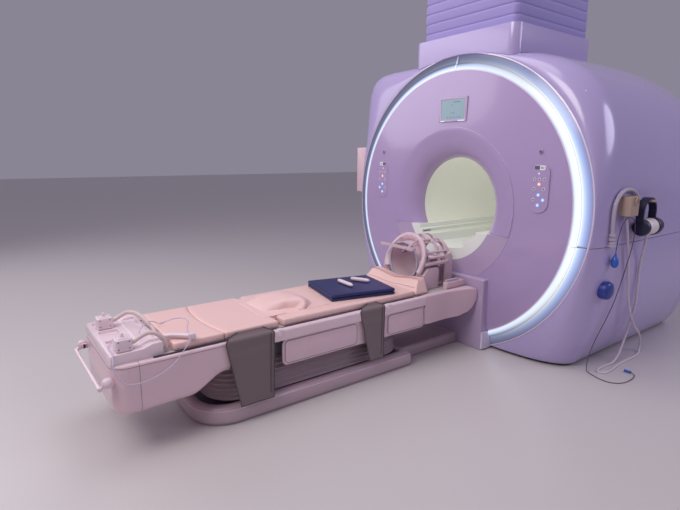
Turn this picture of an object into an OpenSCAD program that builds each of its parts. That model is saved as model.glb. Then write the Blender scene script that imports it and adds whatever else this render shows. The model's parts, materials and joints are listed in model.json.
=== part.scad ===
/* [Gantry] */
// Depth of the gantry, face plane to rear plate
gantry_depth = 1740; // [1640:10:1840]
// Height of the bore axis above the floor
axis_h = 1000; // [990:2:1020]
// Clear diameter of the patient bore
bore_d = 710; // [690:2:720]
// Diameter of the front mouth, where the flare meets the face
mouth_d = 1130; // [1110:2:1150]
// Depth of the front and rear flares
flare_len = 127; // [110:1:150]
// Inner diameter of the light ring
ring_in_d = 1916; // [1890:2:1926]
// Outer diameter of the light ring
ring_out_d = 2132; // [2124:2:2140]
// How far the rim of the face lies behind its mouth
face_bulge = 17; // [8:1:24]
// How far the light ring leans back over its width
ring_lean = 35; // [25:1:45]
// Wall of the gantry covers
cover_wall = 8; // [5:1:12]
// Height of the seam between upper and lower covers
seam_h = 825; // [780:5:845]

/* [Gantry outline] */
// Half the width of the gantry
body_half_w = 1090; // [1080:2:1110]
// Height of the roof above the bore axis
body_top_r = 1050; // [1040:2:1075]
// Reach of the lower section below the bore axis
body_low_r = 1250; // [1220:5:1300]
// Depth of the rounded front edge
corner_depth = 200; // [150:5:240]
// Drop of the roof towards the rear
tail_drop = 100; // [60:5:140]
// Gap under the covers
floor_gap = 20; // [10:1:28]

/* [Turret and duct] */
// Half the width of the turret cover
turret_half_w = 450; // [430:5:480]
// Depth of the turret cover
turret_len = 940; // [900:10:980]
// Top of the turret cover above the floor
turret_top = 2205; // [2160:5:2240]
// Half the width of the fabric duct shroud
duct_half_w = 410; // [390:5:425]
// Height of the duct shroud
duct_h = 345; // [300:5:400]

/* [Face details] */
// Width of the touch display
display_w = 257; // [220:1:280]
// Height of the touch display
display_h = 172; // [150:1:190]
// Height of the display's centre above the bore axis
display_up = 687; // [670:1:700]
// Distance of each keypad from the middle of the face
panel_x = 730; // [715:1:745]
// Width of a keypad
panel_w = 134; // [120:1:150]
// Height of a keypad
panel_h = 310; // [280:2:330]
// Half the width of the docking pillar
pillar_half_w = 400; // [390:1:405]
// Height of the docking pillar
pillar_h = 515; // [500:1:530]
// Height of the table ledge inside the bore
ledge_h = 830; // [826:1:840]

/* [Couch] */
// Half the width of the plinth
plinth_half_w = 300; // [285:1:306]
// Height of the plinth
plinth_h = 100; // [90:1:104]
// Distance of the plinth's foot end from the face
plinth_foot = 2057; // [2040:1:2080]
// Distance of the plinth's head end from the face
plinth_head = 630; // [600:5:645]
// Half the width of the couch over its side rails
couch_half_w = 310; // [306:1:313]
// Half the width of the tabletop
top_half_w = 275; // [268:1:276]
// Height of the tabletop's underside with the couch down
top_h = 445; // [440:1:448]
// Thickness of the tabletop
top_t = 12; // [10:1:14]
// Thickness of the mattress pads
pad_t = 43; // [38:1:46]
// Number of pleats in the bellows
pleats = 7; // [5:1:9]
// Depth of a bellows pleat
pleat_depth = 18; // [10:1:20]
// Outer radius of the lift column
lift_r = 50; // [44:1:54]
// Wall of each lift tube
lift_wall = 4; // [3:0.5:5]

/* [Cushions] */
// Height of the knee wedge
wedge_h = 172; // [150:1:190]
// Length of the knee wedge
wedge_len = 531; // [480:1:560]
// Side of the folded pad
fold_pad_w = 400; // [360:5:420]
// Thickness of the folded pad
fold_pad_t = 40; // [30:1:50]
// Thickness of the collar pad
collar_t = 103; // [90:1:110]
// Width of a body strap's wide end
strap_w = 300; // [260:5:320]

/* [Head coil] */
// Outer radius of the head coil
coil_r = 187; // [178:1:190]
// Inner radius of the head coil
coil_bore_r = 138; // [128:1:145]
// Height of the coil's axis above the floor
coil_axis_h = 635; // [630:1:642]
// Width of the mirror
mirror_w = 140; // [120:1:150]

/* [Floor anchors] */
// Spacing of the anchor holes across the gantry
anchor_x = 1300; // [1280:10:1320]
// Spacing of the anchor holes along the gantry
anchor_y = 1050; // [1000:10:1100]
// Radius of an anchor hole
anchor_r = 9; // [6:0.5:12]

/* [Hidden] */
// Clearance left between a piece and its seat
fit = 0.3;
face_y = -gantry_depth / 2;
bore_r = bore_d / 2;
mouth_r = mouth_d / 2;
ring_in_r = ring_in_d / 2;
ring_out_r = ring_out_d / 2;
// Depths below are measured from the face plane
ring_in_y = face_bulge;
ring_out_y = face_bulge + ring_lean;
liner_t = 6;
lip = 8;
// Exponents of the outline's corners: a square left shoulder, rounder elsewhere
shoulder_n = 11;
top_n = 3.2;
low_n = 3.6;
tail_y = 900;
rear_y = 1600;
pillar_y = 50;
pillar_gap = 2;
duct_fold = 6;

// Profile turned about the bore axis; its points are radius and depth behind the face
module about_bore() {
    translate([0, face_y, axis_h]) rotate([-90, 0, 0]) rotate_extrude($fn = 180) children();
}

// Box with a corner at p, measured from the face plane
module block(p, s) {
    translate([p[0], face_y + p[1], p[2]]) cube(s);
}

// Block centred on x = 0
module mid_block(half_w, y0, y1, z0, z1) {
    block([-half_w, y0, z0], [2 * half_w, y1 - y0, z1 - z0]);
}

// Copy on both sides of the middle
module both_sides() {
    children();
    mirror([1, 0, 0]) children();
}

// Rectangle with round corners between two opposite points
module round_rect(x0, y0, x1, y1, r) {
    translate([x0 + r, y0]) square([x1 - x0 - 2 * r, y1 - y0]);
    translate([x0, y0 + r]) square([x1 - x0, y1 - y0 - 2 * r]);
    for (x = [x0 + r, x1 - r], y = [y0 + r, y1 - r]) translate([x, y]) circle(r, $fn = 32);
}

// Rectangle whose two corners at the foot end are round
module foot_round(half_w, y0, y1, r) {
    translate([-half_w, y0 + r]) square([2 * half_w, y1 - y0 - r]);
    translate([-half_w + r, y0]) square([2 * (half_w - r), r + 1]);
    for (sx = [-1, 1]) translate([sx * (half_w - r), y0 + r]) circle(r, $fn = 96);
}

// Upright plate drawn in x and z, from depth y0 to y1
module upright(y0, y1) {
    translate([0, face_y + y1, 0]) rotate([90, 0, 0]) linear_extrude(y1 - y0) children();
}

// Side profile drawn in y and z, run across from x0 to x1
module across(x0, x1) {
    translate([x0, face_y, 0]) rotate([90, 0, 90]) linear_extrude(x1 - x0) children();
}

// Plan drawn in x and y, from height z0 to z1
module plan(z0, z1) {
    translate([0, face_y, z0]) linear_extrude(z1 - z0) children();
}

// Closed skin over rings of points; rings and sections both close on themselves
module ring_skin(rings) {
    n = len(rings);
    m = len(rings[0]);
    polyhedron(
        points = [for (ring = rings) for (p = ring) p],
        faces = [for (i = [0:n - 1]) for (j = [0:m - 1])
            let (a = i * m + j, b = i * m + (j + 1) % m,
                c = ((i + 1) % n) * m + (j + 1) % m, d = ((i + 1) % n) * m + j)
            each [[a, c, b], [a, d, c]]]);
}

// Closed skin over rings of points with flat ends
module loft(rings) {
    n = len(rings);
    m = len(rings[0]);
    polyhedron(
        points = [for (ring = rings) for (p = ring) p],
        faces = concat(
            [[for (j = [0:m - 1]) j]],
            [[for (j = [0:m - 1]) (n - 1) * m + m - 1 - j]],
            [for (i = [0:n - 2]) for (j = [0:m - 1])
                let (a = i * m + j, b = i * m + (j + 1) % m,
                    c = (i + 1) * m + (j + 1) % m, d = (i + 1) * m + j)
                each [[a, c, b], [a, d, c]]]));
}

// Smooth route through chosen points, with extra points between them
function route(p, steps) = [
    for (i = [0:len(p) - 2]) for (k = [0:steps - 1])
        let (t = k / steps, a = p[max(i - 1, 0)], b = p[i], c = p[i + 1],
            d = p[min(i + 2, len(p) - 1)])
        0.5 * (2 * b + (c - a) * t + (2 * a - 5 * b + 4 * c - d) * t * t
            + (3 * b - a - 3 * c + d) * t * t * t),
    p[len(p) - 1]];

function unit(v) = v / norm(v);

// Sideways directions carried along a route without twisting
function frames(p, i = 0, prev = [0, 0, 0]) =
    let (t = unit(p[min(i + 1, len(p) - 1)] - p[max(i - 1, 0)]),
        guess = i > 0 ? prev : abs(t[2]) < 0.9 ? [0, 0, 1] : [1, 0, 0],
        side = unit(guess - t * (guess * t)))
    i == len(p) - 1 ? [[side, cross(t, side)]]
        : concat([[side, cross(t, side)]], frames(p, i + 1, side));

// Tube swept along a smooth route
module tube(points, d, steps, sides) {
    p = [for (q = route(points, steps)) q + [0, face_y, 0]];
    f = frames(p);
    loft([for (i = [0:len(p) - 1]) [for (k = [0:sides - 1])
        p[i] + d / 2 * (cos(360 * k / sides) * f[i][0] + sin(360 * k / sides) * f[i][1])]]);
}

// Outline of the gantry in polar form about the bore axis; t = 0 points to +X
function corner_n(t) = sin(t) < 0 ? low_n : cos(t) < 0 ? shoulder_n : top_n;
function full_r(t) = pow(
    pow(abs(cos(t)) / body_half_w, corner_n(t))
    + pow(abs(sin(t)) / (sin(t) < 0 ? body_low_r : body_top_r), corner_n(t)),
    -1 / corner_n(t));
// The front edge is tighter on the square shoulder
function edge_len(t) = corner_depth * (1 - 0.7 * max(0, sin(t)) * max(0, -cos(t)));
function tail(t, y) = y < tail_y ? 0
    : tail_drop * max(0, sin(t)) * pow((y - tail_y) / (gantry_depth - tail_y), 2);
function body_r(t, y, inset = 0) =
    let (y0 = ring_out_y + inset, u = min(1, max(0, (y - y0) / (edge_len(t) - inset))))
    ring_out_r + (full_r(t) - inset - ring_out_r) * sqrt(1 - pow(1 - u, 2)) - tail(t, y);
// Angles are closer together round the square shoulder
angles = [for (t = [0:5:105]) t, for (t = [107.5:2.5:165]) t, for (t = [170:5:355]) t];
edge_steps = [0, 0.05, 0.18, 0.4, 0.7, 1];
function on_bore(t, r, y) = [r * cos(t), face_y + y, axis_h + r * sin(t)];
function edge_ys(t, inset) = [for (u = edge_steps)
    ring_out_y + inset + u * (edge_len(t) - inset)];
// Half the width of the covers at height z, behind the rounded front edge
function side_x(z) = body_half_w * pow(1 - pow((axis_h - z) / body_low_r, low_n), 1 / low_n);

// Solid filling the covers' outline, drawn in by inset
module body_solid(inset) {
    loft([for (i = [0:len(edge_steps) + 3]) [for (k = [len(angles) - 1:-1:0])
        let (t = angles[k], ys = concat(edge_ys(t, inset), [tail_y, 1250, rear_y, gantry_depth]))
        on_bore(t, body_r(t, ys[i], inset), ys[i])]]);
}

edge_gap = 1.5;
// Moulded shell of the gantry, front edge to the rear cover, set back round the light ring
module body_shell() {
    difference() {
        whole_shell();
        about_bore() square([ring_out_r + fit, ring_out_y + lip + fit]);
    }
}
module whole_shell() {
    ring_skin([for (t = angles)
        let (out = concat(edge_ys(t, 0), [tail_y, 1250, rear_y]),
            ins = concat(edge_ys(t, cover_wall), [tail_y, 1250, rear_y]), n = len(out) - 1)
        concat(
            [for (y = out) on_bore(t, body_r(t, y) + (y == out[0] ? edge_gap : 0), y)],
            [for (j = [n:-1:0]) on_bore(t,
                body_r(t, ins[j], cover_wall) + (j == 0 ? edge_gap : 0), ins[j])])]);
}

// Everything under a height, or over it
module below(z) {
    translate([-3000, -3000, z - 3000]) cube([6000, 6000, 3000]);
}
module above(z) {
    translate([-3000, -3000, z]) cube([6000, 6000, 3000]);
}

// Room for the docking pillar
module pillar_notch() {
    mid_block(pillar_half_w + pillar_gap, -200, 300, -200, pillar_h + pillar_gap);
}

/* Magnet and what it holds */

vessel_r = 925;
vessel_bore_r = 470;
vessel_y0 = 130;
vessel_y1 = 1610;
gradient_r = vessel_bore_r - fit;
gradient_in_r = 390;
coil_end_r = gradient_in_r - fit;
former_r = bore_r + liner_t + fit;
foot_w = 180;
foot_t = 20;

// Steel vessel with dished ends
module magnet_vessel() {
    rim = 40;
    color("silver") about_bore() polygon([
        [vessel_bore_r, vessel_y0 + rim], [vessel_bore_r + 20, vessel_y0],
        [vessel_r - rim, vessel_y0 + 20], [vessel_r, vessel_y0 + 80],
        [vessel_r, vessel_y1 - 80], [vessel_r - rim, vessel_y1 - 20],
        [vessel_bore_r + 20, vessel_y1], [vessel_bore_r, vessel_y1 - rim]]);
}

// Four feet that carry the vessel and take the floor anchors
module magnet_feet() {
    post = 120;
    color("dimgray") for (sx = [-1, 1], sy = [-1, 1])
        translate([sx * anchor_x / 2, sy * anchor_y / 2, 0]) difference() {
            union() {
                translate([-foot_w / 2, -foot_w / 2, 0]) cube([foot_w, foot_w, foot_t]);
                translate([sx > 0 ? -foot_w / 2 - 40 : foot_w / 2 + 40 - post, -post / 2, 0])
                    translate([sx > 0 ? -50 : 50, 0, 0]) cube([post, post, axis_h - 400]);
            }
            translate([0, 0, -1]) cylinder(r = anchor_r, h = foot_t + 2, $fn = 48);
            translate([-sx * anchor_x / 2, -sy * anchor_y / 2, 0]) about_bore()
                translate([0, vessel_y0 - 50]) square([vessel_r + fit, vessel_y1 - vessel_y0 + 100]);
        }
}

// Gradient coil cylinder with cooling collars at its ends
module gradient_coil() {
    len = 1300;
    y0 = (gantry_depth - len) / 2;
    collar = 20;
    color("peru") about_bore() polygon([
        [gradient_in_r, y0], [gradient_r - collar, y0], [gradient_r - collar, y0 + 30],
        [gradient_r, y0 + 50], [gradient_r, y0 + len - 50], [gradient_r - collar, y0 + len - 30],
        [gradient_r - collar, y0 + len], [gradient_in_r, y0 + len]]);
}

// Birdcage coil: a former with two end rings and sixteen rungs
module body_coil() {
    len = 640;
    y0 = (gantry_depth - len) / 2;
    ring_w = 60;
    rungs = 16;
    former_t = 5;
    color("goldenrod") {
        about_bore() {
            translate([former_r, y0 - ring_w]) square([former_t, len + 2 * ring_w]);
            for (y = [y0 - ring_w, y0 + len]) translate([former_r, y])
                square([coil_end_r - former_r, ring_w]);
        }
        for (k = [0:rungs - 1]) translate([0, face_y + y0, axis_h]) rotate([0, k * 360 / rungs, 0])
            translate([former_r + 1, 0, -12]) cube([former_t + 4, len, 24]);
    }
}

// Cold head standing on the vessel under the turret
module cold_head() {
    stand = axis_h + vessel_r + fit;
    color("gray") translate([0, face_y + 560, stand]) {
        cylinder(r = 90, h = 25, $fn = 48);
        translate([0, 0, 25]) cylinder(r = 62, h = 120, $fn = 48);
        translate([0, 0, 145]) cylinder(r = 78, h = 70, $fn = 48);
        translate([-35, 70, 150]) cube([70, 60, 50]);
    }
}

/* Bore */

// Tube that lines the bore
module bore_liner() {
    color("honeydew") about_bore() translate([bore_r, flare_len + fit])
        square([liner_t, gantry_depth - 2 * flare_len - 2 * fit]);
}

// Quarter ellipse from the mouth to the bore, drawn in by wall thickness t
function horn(t, steps) = [for (k = [0:steps])
    let (a = 90 * k / steps)
    [mouth_r - (mouth_r - bore_r - t) * sin(a), flare_len - (flare_len - t) * cos(a)]];

// Flared funnel at the front of the bore, open below the ledge
module front_flare() {
    steps = 12;
    back = horn(liner_t, steps);
    color("lavender") difference() {
        about_bore() polygon(concat(horn(0, steps), [for (k = [steps:-1:0]) back[k]]));
        below(ledge_h + fit);
    }
}

face_t = 8;
function face_depth(r) = face_bulge * pow((r - mouth_r) / (ring_in_r - mouth_r), 2);

// Faint convex face with cut-outs for the display, the keypads and the pillar
module face_cover() {
    steps = 8;
    r0 = mouth_r + fit;
    r1 = ring_in_r - lip - fit;
    rs = [for (k = [0:steps]) r0 + (r1 - r0) * k / steps];
    color("white") difference() {
        about_bore() polygon(concat([for (r = rs) [r, face_depth(r)]],
            [for (k = [steps:-1:0]) [rs[k], face_depth(rs[k]) + face_t]]));
        pillar_notch();
        upright(-60, 120) display_outline(fit);
        both_sides() upright(-60, 120) panel_outline(fit);
        both_sides() upright(-60, 120) lens_outline(fit);
    }
}

// Half profile of the stepped trough: across from the middle and height below the ledge
trough = [[270, 0], [266, 30], [241, 36], [242, 58], [171, 68], [166, 128], [0, 150]];
bridge_mouth_r = 405;
tray_t = 8;
ledge_t = 8;
function trough_line(drop) = concat(
    [for (p = trough) [p[0], ledge_h - p[1] - drop]],
    [for (k = [len(trough) - 2:-1:0]) [-trough[k][0], ledge_h - trough[k][1] - drop]]);
// Everything under the ledge and the trough, drawn in x and z
module under_trough(drop) {
    polygon(concat([[mouth_r, ledge_h - drop]], trough_line(drop),
        [[-mouth_r, ledge_h - drop], [-mouth_r, 0], [mouth_r, 0]]));
}

// Plate that closes the mouth below the ledge, with the shelf behind it
module table_gate() {
    reach = flare_len - fit;
    color("lavender") {
        difference() {
            about_bore() translate([bridge_mouth_r + fit, 0])
                square([mouth_r - bridge_mouth_r - fit, face_t]);
            above(ledge_h);
            pillar_notch();
        }
        difference() {
            intersection() {
                about_bore() polygon(concat([[bridge_mouth_r + fit, 0]],
                    [for (p = horn(0, 10)) if (p[0] > bridge_mouth_r + fit) [p[0] - fit, p[1]]],
                    [[bridge_mouth_r + fit, reach]]));
                mid_block(mouth_r, 0, reach, ledge_h - ledge_t, ledge_h);
            }
            below(ledge_h - ledge_t);
        }
    }
}

// Long stepped tray that bridges the bore and carries the table
module table_bridge() {
    r = bore_r - fit;
    leg_x = 150;
    leg_t = 12;
    y1 = gantry_depth - 10;
    color("lavender") {
        upright(flare_len, y1) intersection() {
            translate([0, axis_h]) circle(r, $fn = 180);
            difference() {
                under_trough(0);
                under_trough(tray_t);
            }
        }
        upright(face_t, flare_len) intersection() {
            translate([0, axis_h]) circle(bridge_mouth_r, $fn = 180);
            difference() {
                under_trough(0);
                under_trough(tray_t);
            }
        }
        upright(0, face_t) intersection() {
            translate([0, axis_h]) circle(bridge_mouth_r, $fn = 180);
            under_trough(0);
        }
        both_sides() upright(flare_len, y1) intersection() {
            translate([0, axis_h]) circle(r, $fn = 180);
            translate([leg_x - leg_t, axis_h - bore_r]) square([leg_t, bore_r]);
            under_trough(tray_t / 2);
        }
    }
}

/* Light ring */

// Depth of the lens behind its front face
lens_back = 8;
ring_w = ring_out_r - ring_in_r;
function lens_pt(u) = [ring_in_r + fit + (ring_w - lip - 2 * fit) * u,
    ring_in_y + ring_lean * (u * 0.92 + 0.08 * u * u)];

// Two-step lens of the light ring, in four lengths
module ring_light() {
    joint_gap = 1;
    us = [0, 0.2, 0.4, 0.41, 0.6, 0.8, 1];
    rise = [0, -2, 0, 3, 1, 0, 0];
    front = [for (k = [0:len(us) - 1]) lens_pt(us[k]) + [0, rise[k]]];
    color("azure") difference() {
        about_bore() polygon(concat(front,
            [for (k = [len(us) - 1:-1:0]) lens_pt(us[k]) + [0, lens_back]]));
        mid_block(pillar_half_w + 16, -200, 300, -200, axis_h / 2);
        mid_block(joint_gap / 2, -50, 200, axis_h, 2 * axis_h + 500);
        mid_block(2000, -50, 200, seam_h - joint_gap / 2, seam_h + joint_gap / 2);
    }
}

// Channel behind the lens with its two bright lips, and a small end block on each side
module ring_channel() {
    depth = 30;
    web = 6;
    y_in = face_depth(ring_in_r - lip);
    out = ring_out_r;
    bed = lens_back + fit;
    color("lavender") {
        difference() {
            about_bore() polygon([
                [ring_in_r - lip, y_in], [ring_in_r, ring_in_y],
                [ring_in_r, ring_in_y + bed], [out - lip, ring_out_y + bed],
                [out - lip, ring_out_y - 3], [out, ring_out_y], [out, ring_out_y + lip],
                [out - lip, ring_out_y + bed + web],
                [ring_in_r, ring_in_y + bed + web], [ring_in_r, y_in + depth],
                [ring_in_r - lip, y_in + depth]]);
            mid_block(pillar_half_w + 14, -200, 300, -200, axis_h / 2);
        }
        both_sides() block([pillar_half_w + fit, -45, floor_gap / 2], [14, 100, 122]);
    }
}

// Docking pillar the couch plugs into
module dock_pillar() {
    r = 14;
    color("thistle") upright(-pillar_y, pillar_y) {
        round_rect(-pillar_half_w, 0, pillar_half_w, pillar_h, r);
        square([pillar_half_w, 2 * r]);
        translate([-pillar_half_w, 0]) square([pillar_half_w, 2 * r]);
    }
}

/* Covers */

// Dark recessed base whose top flange steadies the covers
module base_skirt() {
    recess = 40;
    flange_h = 60;
    flange_t = 6;
    wall = 20;
    front_y = 110;
    wx = side_x(floor_gap) - recess;
    rear = rear_y + 60;
    function edge(d) = concat(
        [for (a = [0:15:90]) [wx - 480 + (480 - d) * sin(a), front_y + 230 - (230 - d) * cos(a)]],
        [[wx - d, rear - d]]);
    module outline(d) {
        polygon(concat(edge(d), [for (k = [len(edge(d)) - 1:-1:0]) [-edge(d)[k][0], edge(d)[k][1]]]));
    }
    color([0.1, 0.09, 0.12]) {
        plan(0, flange_h) difference() {
            outline(0);
            outline(wall);
        }
        intersection() {
            body_solid(cover_wall + fit);
            plan(flange_h, flange_h + flange_t) difference() {
                translate([-2000, ring_out_y + 60]) square([4000, rear_y - ring_out_y - 60]);
                outline(wall);
            }
        }
    }
}

module upper_cover() {
    color("ghostwhite") difference() {
        body_shell();
        below(seam_h + 1.5);
        mid_block(220, 320, 800, axis_h + 900, axis_h + 1200);
    }
}

// Lower cover on one side: keep is +1 for the right and -1 for the left
module lower_cover(keep) {
    color("ghostwhite") intersection() {
        body_shell();
        translate([keep > 0 ? pillar_half_w / 2 : -3000 - pillar_half_w / 2, -3000, floor_gap])
            cube([3000, 6000, seam_h - 1.5 - floor_gap]);
    }
}

module side_cover_left() {
    lower_cover(-1);
}

module side_cover_right() {
    lower_cover(1);
}

// Rear moulding: rounded edge, flat back and a flare like the front one
module rear_cover() {
    edge_r = 50;
    back = gantry_depth;
    t_in = cover_wall;
    start = rear_y + 1.5;
    color("ghostwhite") difference() {
        ring_skin([for (t = angles)
            let (
                rim = body_r(t, back),
                outer = concat([[body_r(t, start), start], [rim + 2, back - edge_r],
                    [rim - edge_r * 0.3, back - edge_r * 0.3], [rim - edge_r, back],
                    [mouth_r, back]],
                    [for (a = [22.5:22.5:90]) [mouth_r - (mouth_r - bore_r) * sin(a),
                        back - flare_len + flare_len * cos(a)]]),
                inner = concat(
                    [for (a = [90:-22.5:22.5]) [mouth_r - (mouth_r - bore_r - t_in) * sin(a),
                        back - flare_len + (flare_len - t_in) * cos(a)]],
                    [[mouth_r, back - t_in], [rim - edge_r, back - t_in],
                    [rim - edge_r * 0.3 - t_in * 0.7, back - edge_r * 0.3 - t_in * 0.7],
                    [rim + 2 - t_in, back - edge_r], [body_r(t, start) - t_in, start]]))
            [for (p = concat(outer, inner)) on_bore(t, p[0], p[1])]]);
        below(floor_gap);
    }
}

/* Turret, duct and details on the face */

// Cover over the service neck, shaped to the roof
module turret_cover() {
    y0 = 60;
    r = 60;
    wall = 6;
    roof_gap = 3;
    leg = 24;
    h = turret_top - axis_h - body_top_r + 150;
    color("ghostwhite") {
        difference() {
            plan(turret_top - h, turret_top) round_rect(-turret_half_w, y0, turret_half_w,
                y0 + turret_len, r);
            plan(turret_top - h - 1, turret_top - wall) round_rect(-turret_half_w + wall, y0 + wall,
                turret_half_w - wall, y0 + turret_len - wall, r - wall);
            body_solid(-roof_gap);
            about_bore() square([ring_out_r + fit, ring_out_y + 20]);
        }
        difference() {
            both_sides() for (share = [0.4, 0.8]) block([turret_half_w - wall - leg + 1,
                y0 + share * turret_len, turret_top - h], [leg, leg, h - wall / 2]);
            body_solid(-fit);
        }
    }
}

// Fabric shroud with soft level folds
module duct_shroud() {
    y0 = 110;
    y1 = 60 + turret_len;
    folds = 5;
    step = duct_h / folds;
    neck = 8;
    r = 40;
    color("lavender") for (k = [0:folds - 1]) {
        z = turret_top + fit + k * step;
        plan(z, z + step - neck) round_rect(-duct_half_w, y0, duct_half_w, y1, r);
        plan(z + step - neck, z + step) round_rect(-duct_half_w + duct_fold, y0 + duct_fold,
            duct_half_w - duct_fold, y1 - duct_fold, r);
    }
}

screen_w = display_w - 44;
screen_h = display_h - 34;
screen_z = axis_h + display_up;
display_y = -5;
module display_outline(d) {
    round_rect(10 - display_w / 2 - d, screen_z - display_h / 2 - d, 10 + display_w / 2 + d,
        screen_z + display_h / 2 + d, 10 + d);
}

// Display housing let into the face, with a sill below it
module display_housing() {
    color("gainsboro") difference() {
        union() {
            upright(display_y, 24) display_outline(0);
            upright(display_y - 5, display_y) round_rect(-60, screen_z - display_h / 2 + 1, 60,
                screen_z - display_h / 2 + 9, 3);
        }
        upright(display_y - 8, display_y + 4) translate([10 - screen_w / 2 - fit,
            screen_z - screen_h / 2 - fit]) square([screen_w + 2 * fit, screen_h + 2 * fit]);
    }
}

module display_screen() {
    color("palegreen") upright(display_y + 1, display_y + 4 - fit)
        translate([10 - screen_w / 2, screen_z - screen_h / 2]) square([screen_w, screen_h]);
}

panel_z = axis_h + 166;
lens_z = panel_z + panel_h / 2 + 70;
lens_r = 11;
module panel_outline(d) {
    round_rect(panel_x - panel_w / 2 - d, panel_z - panel_h / 2 - d, panel_x + panel_w / 2 + d,
        panel_z + panel_h / 2 + d, panel_w / 2 - 4 + d);
}
module lens_outline(d) {
    translate([panel_x, lens_z]) circle(lens_r + d, $fn = 32);
}

// Membrane keypad with raised keys and a window, and the lens above it, on both sides
module keypads() {
    front = 0;
    key_r = 11;
    keys = [[0, 55], [-33, 55], [33, 55], [0, 20], [-33, -4], [33, -4], [-33, -72], [33, -72],
        [0, -42], [0, -106]];
    color("whitesmoke") both_sides() {
        upright(front, 22) panel_outline(0);
        for (k = keys) upright(front - 1, front) translate([panel_x + k[0], panel_z + k[1]])
            circle(key_r, $fn = 24);
        upright(front - 1, front) round_rect(panel_x - 35, panel_z + 112, panel_x + 35,
            panel_z + 140, 5);
        upright(front + 2, 22) lens_outline(0);
    }
}

/* Things on the gantry's sides */

// Cut that leaves a piece seated on the covers
module seat_on_body() {
    body_solid(-fit);
}

module side_box() {
    color("antiquewhite") difference() {
        plan(1030, 1430) round_rect(-body_half_w - 115, 95, -body_half_w + 60, 235, 18);
        seat_on_body();
    }
}

wall_x = body_half_w;
peg_y = 560;
peg_r = 8;
band_r = 80;
band_z = 1020;
bar_top = band_z + band_r - fit;

// Solid turned about a level axis along x, at depth y and height z
module turned_x(x, y, z) {
    translate([x, face_y + y, z]) rotate([0, 90, 0]) rotate_extrude($fn = 48) children();
}

// Holder box with its back plate, the peg for the headset and a ring hook
module holder_box() {
    color("tan") {
        difference() {
            union() {
                plan(1012, 1127) round_rect(wall_x - 40, 287, wall_x + 70, 400, 8);
                plan(1060, 1099) translate([wall_x - 40, 320]) square([48, 290]);
                translate([wall_x - 40, face_y + peg_y, bar_top - peg_r]) rotate([0, 90, 0])
                    cylinder(r = peg_r, h = 135, $fn = 32);
            }
            seat_on_body();
        }
        turned_x(wall_x + 78, 345, 1100) translate([20, 0]) circle(3, $fn = 24);
        translate([wall_x + 69, face_y + 345, 1120]) rotate([0, 90, 0]) cylinder(r = 3, h = 10, $fn = 24);
    }
}

// Headset hung on its peg: a band and two deep cups
module headset() {
    x0 = wall_x + 28;
    w = 44;
    cup_r = 52;
    cup_x = wall_x + cup_r + 7;
    color("midnightblue") {
        translate([x0, face_y + peg_y, band_z]) rotate([0, 90, 0]) difference() {
            cylinder(r = band_r + 14, h = w, $fn = 64);
            translate([0, 0, -1]) cylinder(r = band_r, h = w + 2, $fn = 64);
            translate([0, -200, -1]) cube([200, 400, w + 2]);
        }
        for (sy = [-1, 1]) translate([x0, face_y + peg_y + sy * (band_r + 7) - 7, band_z - 60])
            cube([w, 14, 62]);
        translate([cup_x, face_y + peg_y - 88, band_z - 92]) rotate([-90, 0, 0])
            cylinder(r = cup_r, h = 150, $fn = 64);
        translate([cup_x, face_y + peg_y + 62, band_z - 96]) rotate([-90, 0, 0])
            cylinder(r = cup_r + 6, h = 44, $fn = 64);
        translate([cup_x, face_y + peg_y + 106, band_z - 92]) rotate([-90, 0, 0])
            cylinder(r = cup_r - 8, h = 60, $fn = 64);
    }
}

// Squeeze bulb of the patient call, and the plug at the other end of its tube
module call_bulb() {
    color("royalblue") {
        translate([bulb_at[0], face_y + bulb_at[1], bulb_at[2]]) rotate_extrude($fn = 48) polygon([
            [0, -42], [10, -40], [18, -32], [22, -18], [22, -2], [19, 12], [13, 26], [8, 34],
            [6, 44], [0, 44]]);
        translate([call_end[0], face_y + call_end[1], call_end[2]]) rotate([0, -90, 0])
            cylinder(r = 8, h = 40, $fn = 32);
    }
}
bulb_at = [1115, 262, 737];
call_d = 6;
call_end = [1222, 418, 8.3];

// Round knob on the lower cover
module side_knob() {
    color("navy") difference() {
        turned_x(wall_x - 60, 225, 555) polygon([
            [0, 0], [56, 0], [57, 80], [52, 92], [40, 99], [20, 103], [0, 104]]);
        seat_on_body();
    }
}

air_route = [[1104, 219, 855], [1104, 212, 920], [1104, 204, 1000], [1105, 210, 1080],
    [1106, 250, 1138], [1106, 310, 1163], [1106, 378, 1165], [1106, 440, 1150], [1106, 484, 1122]];
// Stiff tube that arches over the holder between two sockets on the cover
module air_tube() {
    color("lightgray") {
        tube(air_route, 24, 3, 12);
        difference() {
            union() {
                plan(828, 866) round_rect(wall_x - 30, 199, wall_x + 34, 239, 8);
                plan(1099.6, 1132) round_rect(wall_x - 30, 464, wall_x + 34, 504, 8);
            }
            seat_on_body();
        }
    }
}

hose_d = 12;
hose_route = [[1140, 600, 875], [1135, 610, 820], [1115, 640, 740], [1100, 660, 640],
    [1096, 675, 520], [1090, 692, 400], [1078, 690, 300], [1070, 668, 200], [1070, 625, 120],
    [1074, 560, 45], [1076, 490, 10], [1072, 410, 6.3], [1070, 330, 6.3], [1078, 282, 6.3],
    [1098, 262, 6.3], [1120, 278, 6.3], [1128, 322, 6.3], [1122, 400, 6.3], [1112, 500, 6.3],
    [1110, 600, 6.3], [1114, 700, 6.3], [1106, 790, 6.3], [1088, 852, 12], [1080, 872, 45],
    [1086, 850, 95], [1096, 780, 165], [1100, 690, 230], [1102, 610, 320], [1102, 550, 430],
    [1104, 500, 580], [1108, 450, 740], [1112, 400, 880], [1118, 362, 950], [1120, 346, 985], [1120, 345, 1011]];
module headset_hose() {
    color("gainsboro") tube(hose_route, hose_d, 2, 8);
}

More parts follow.
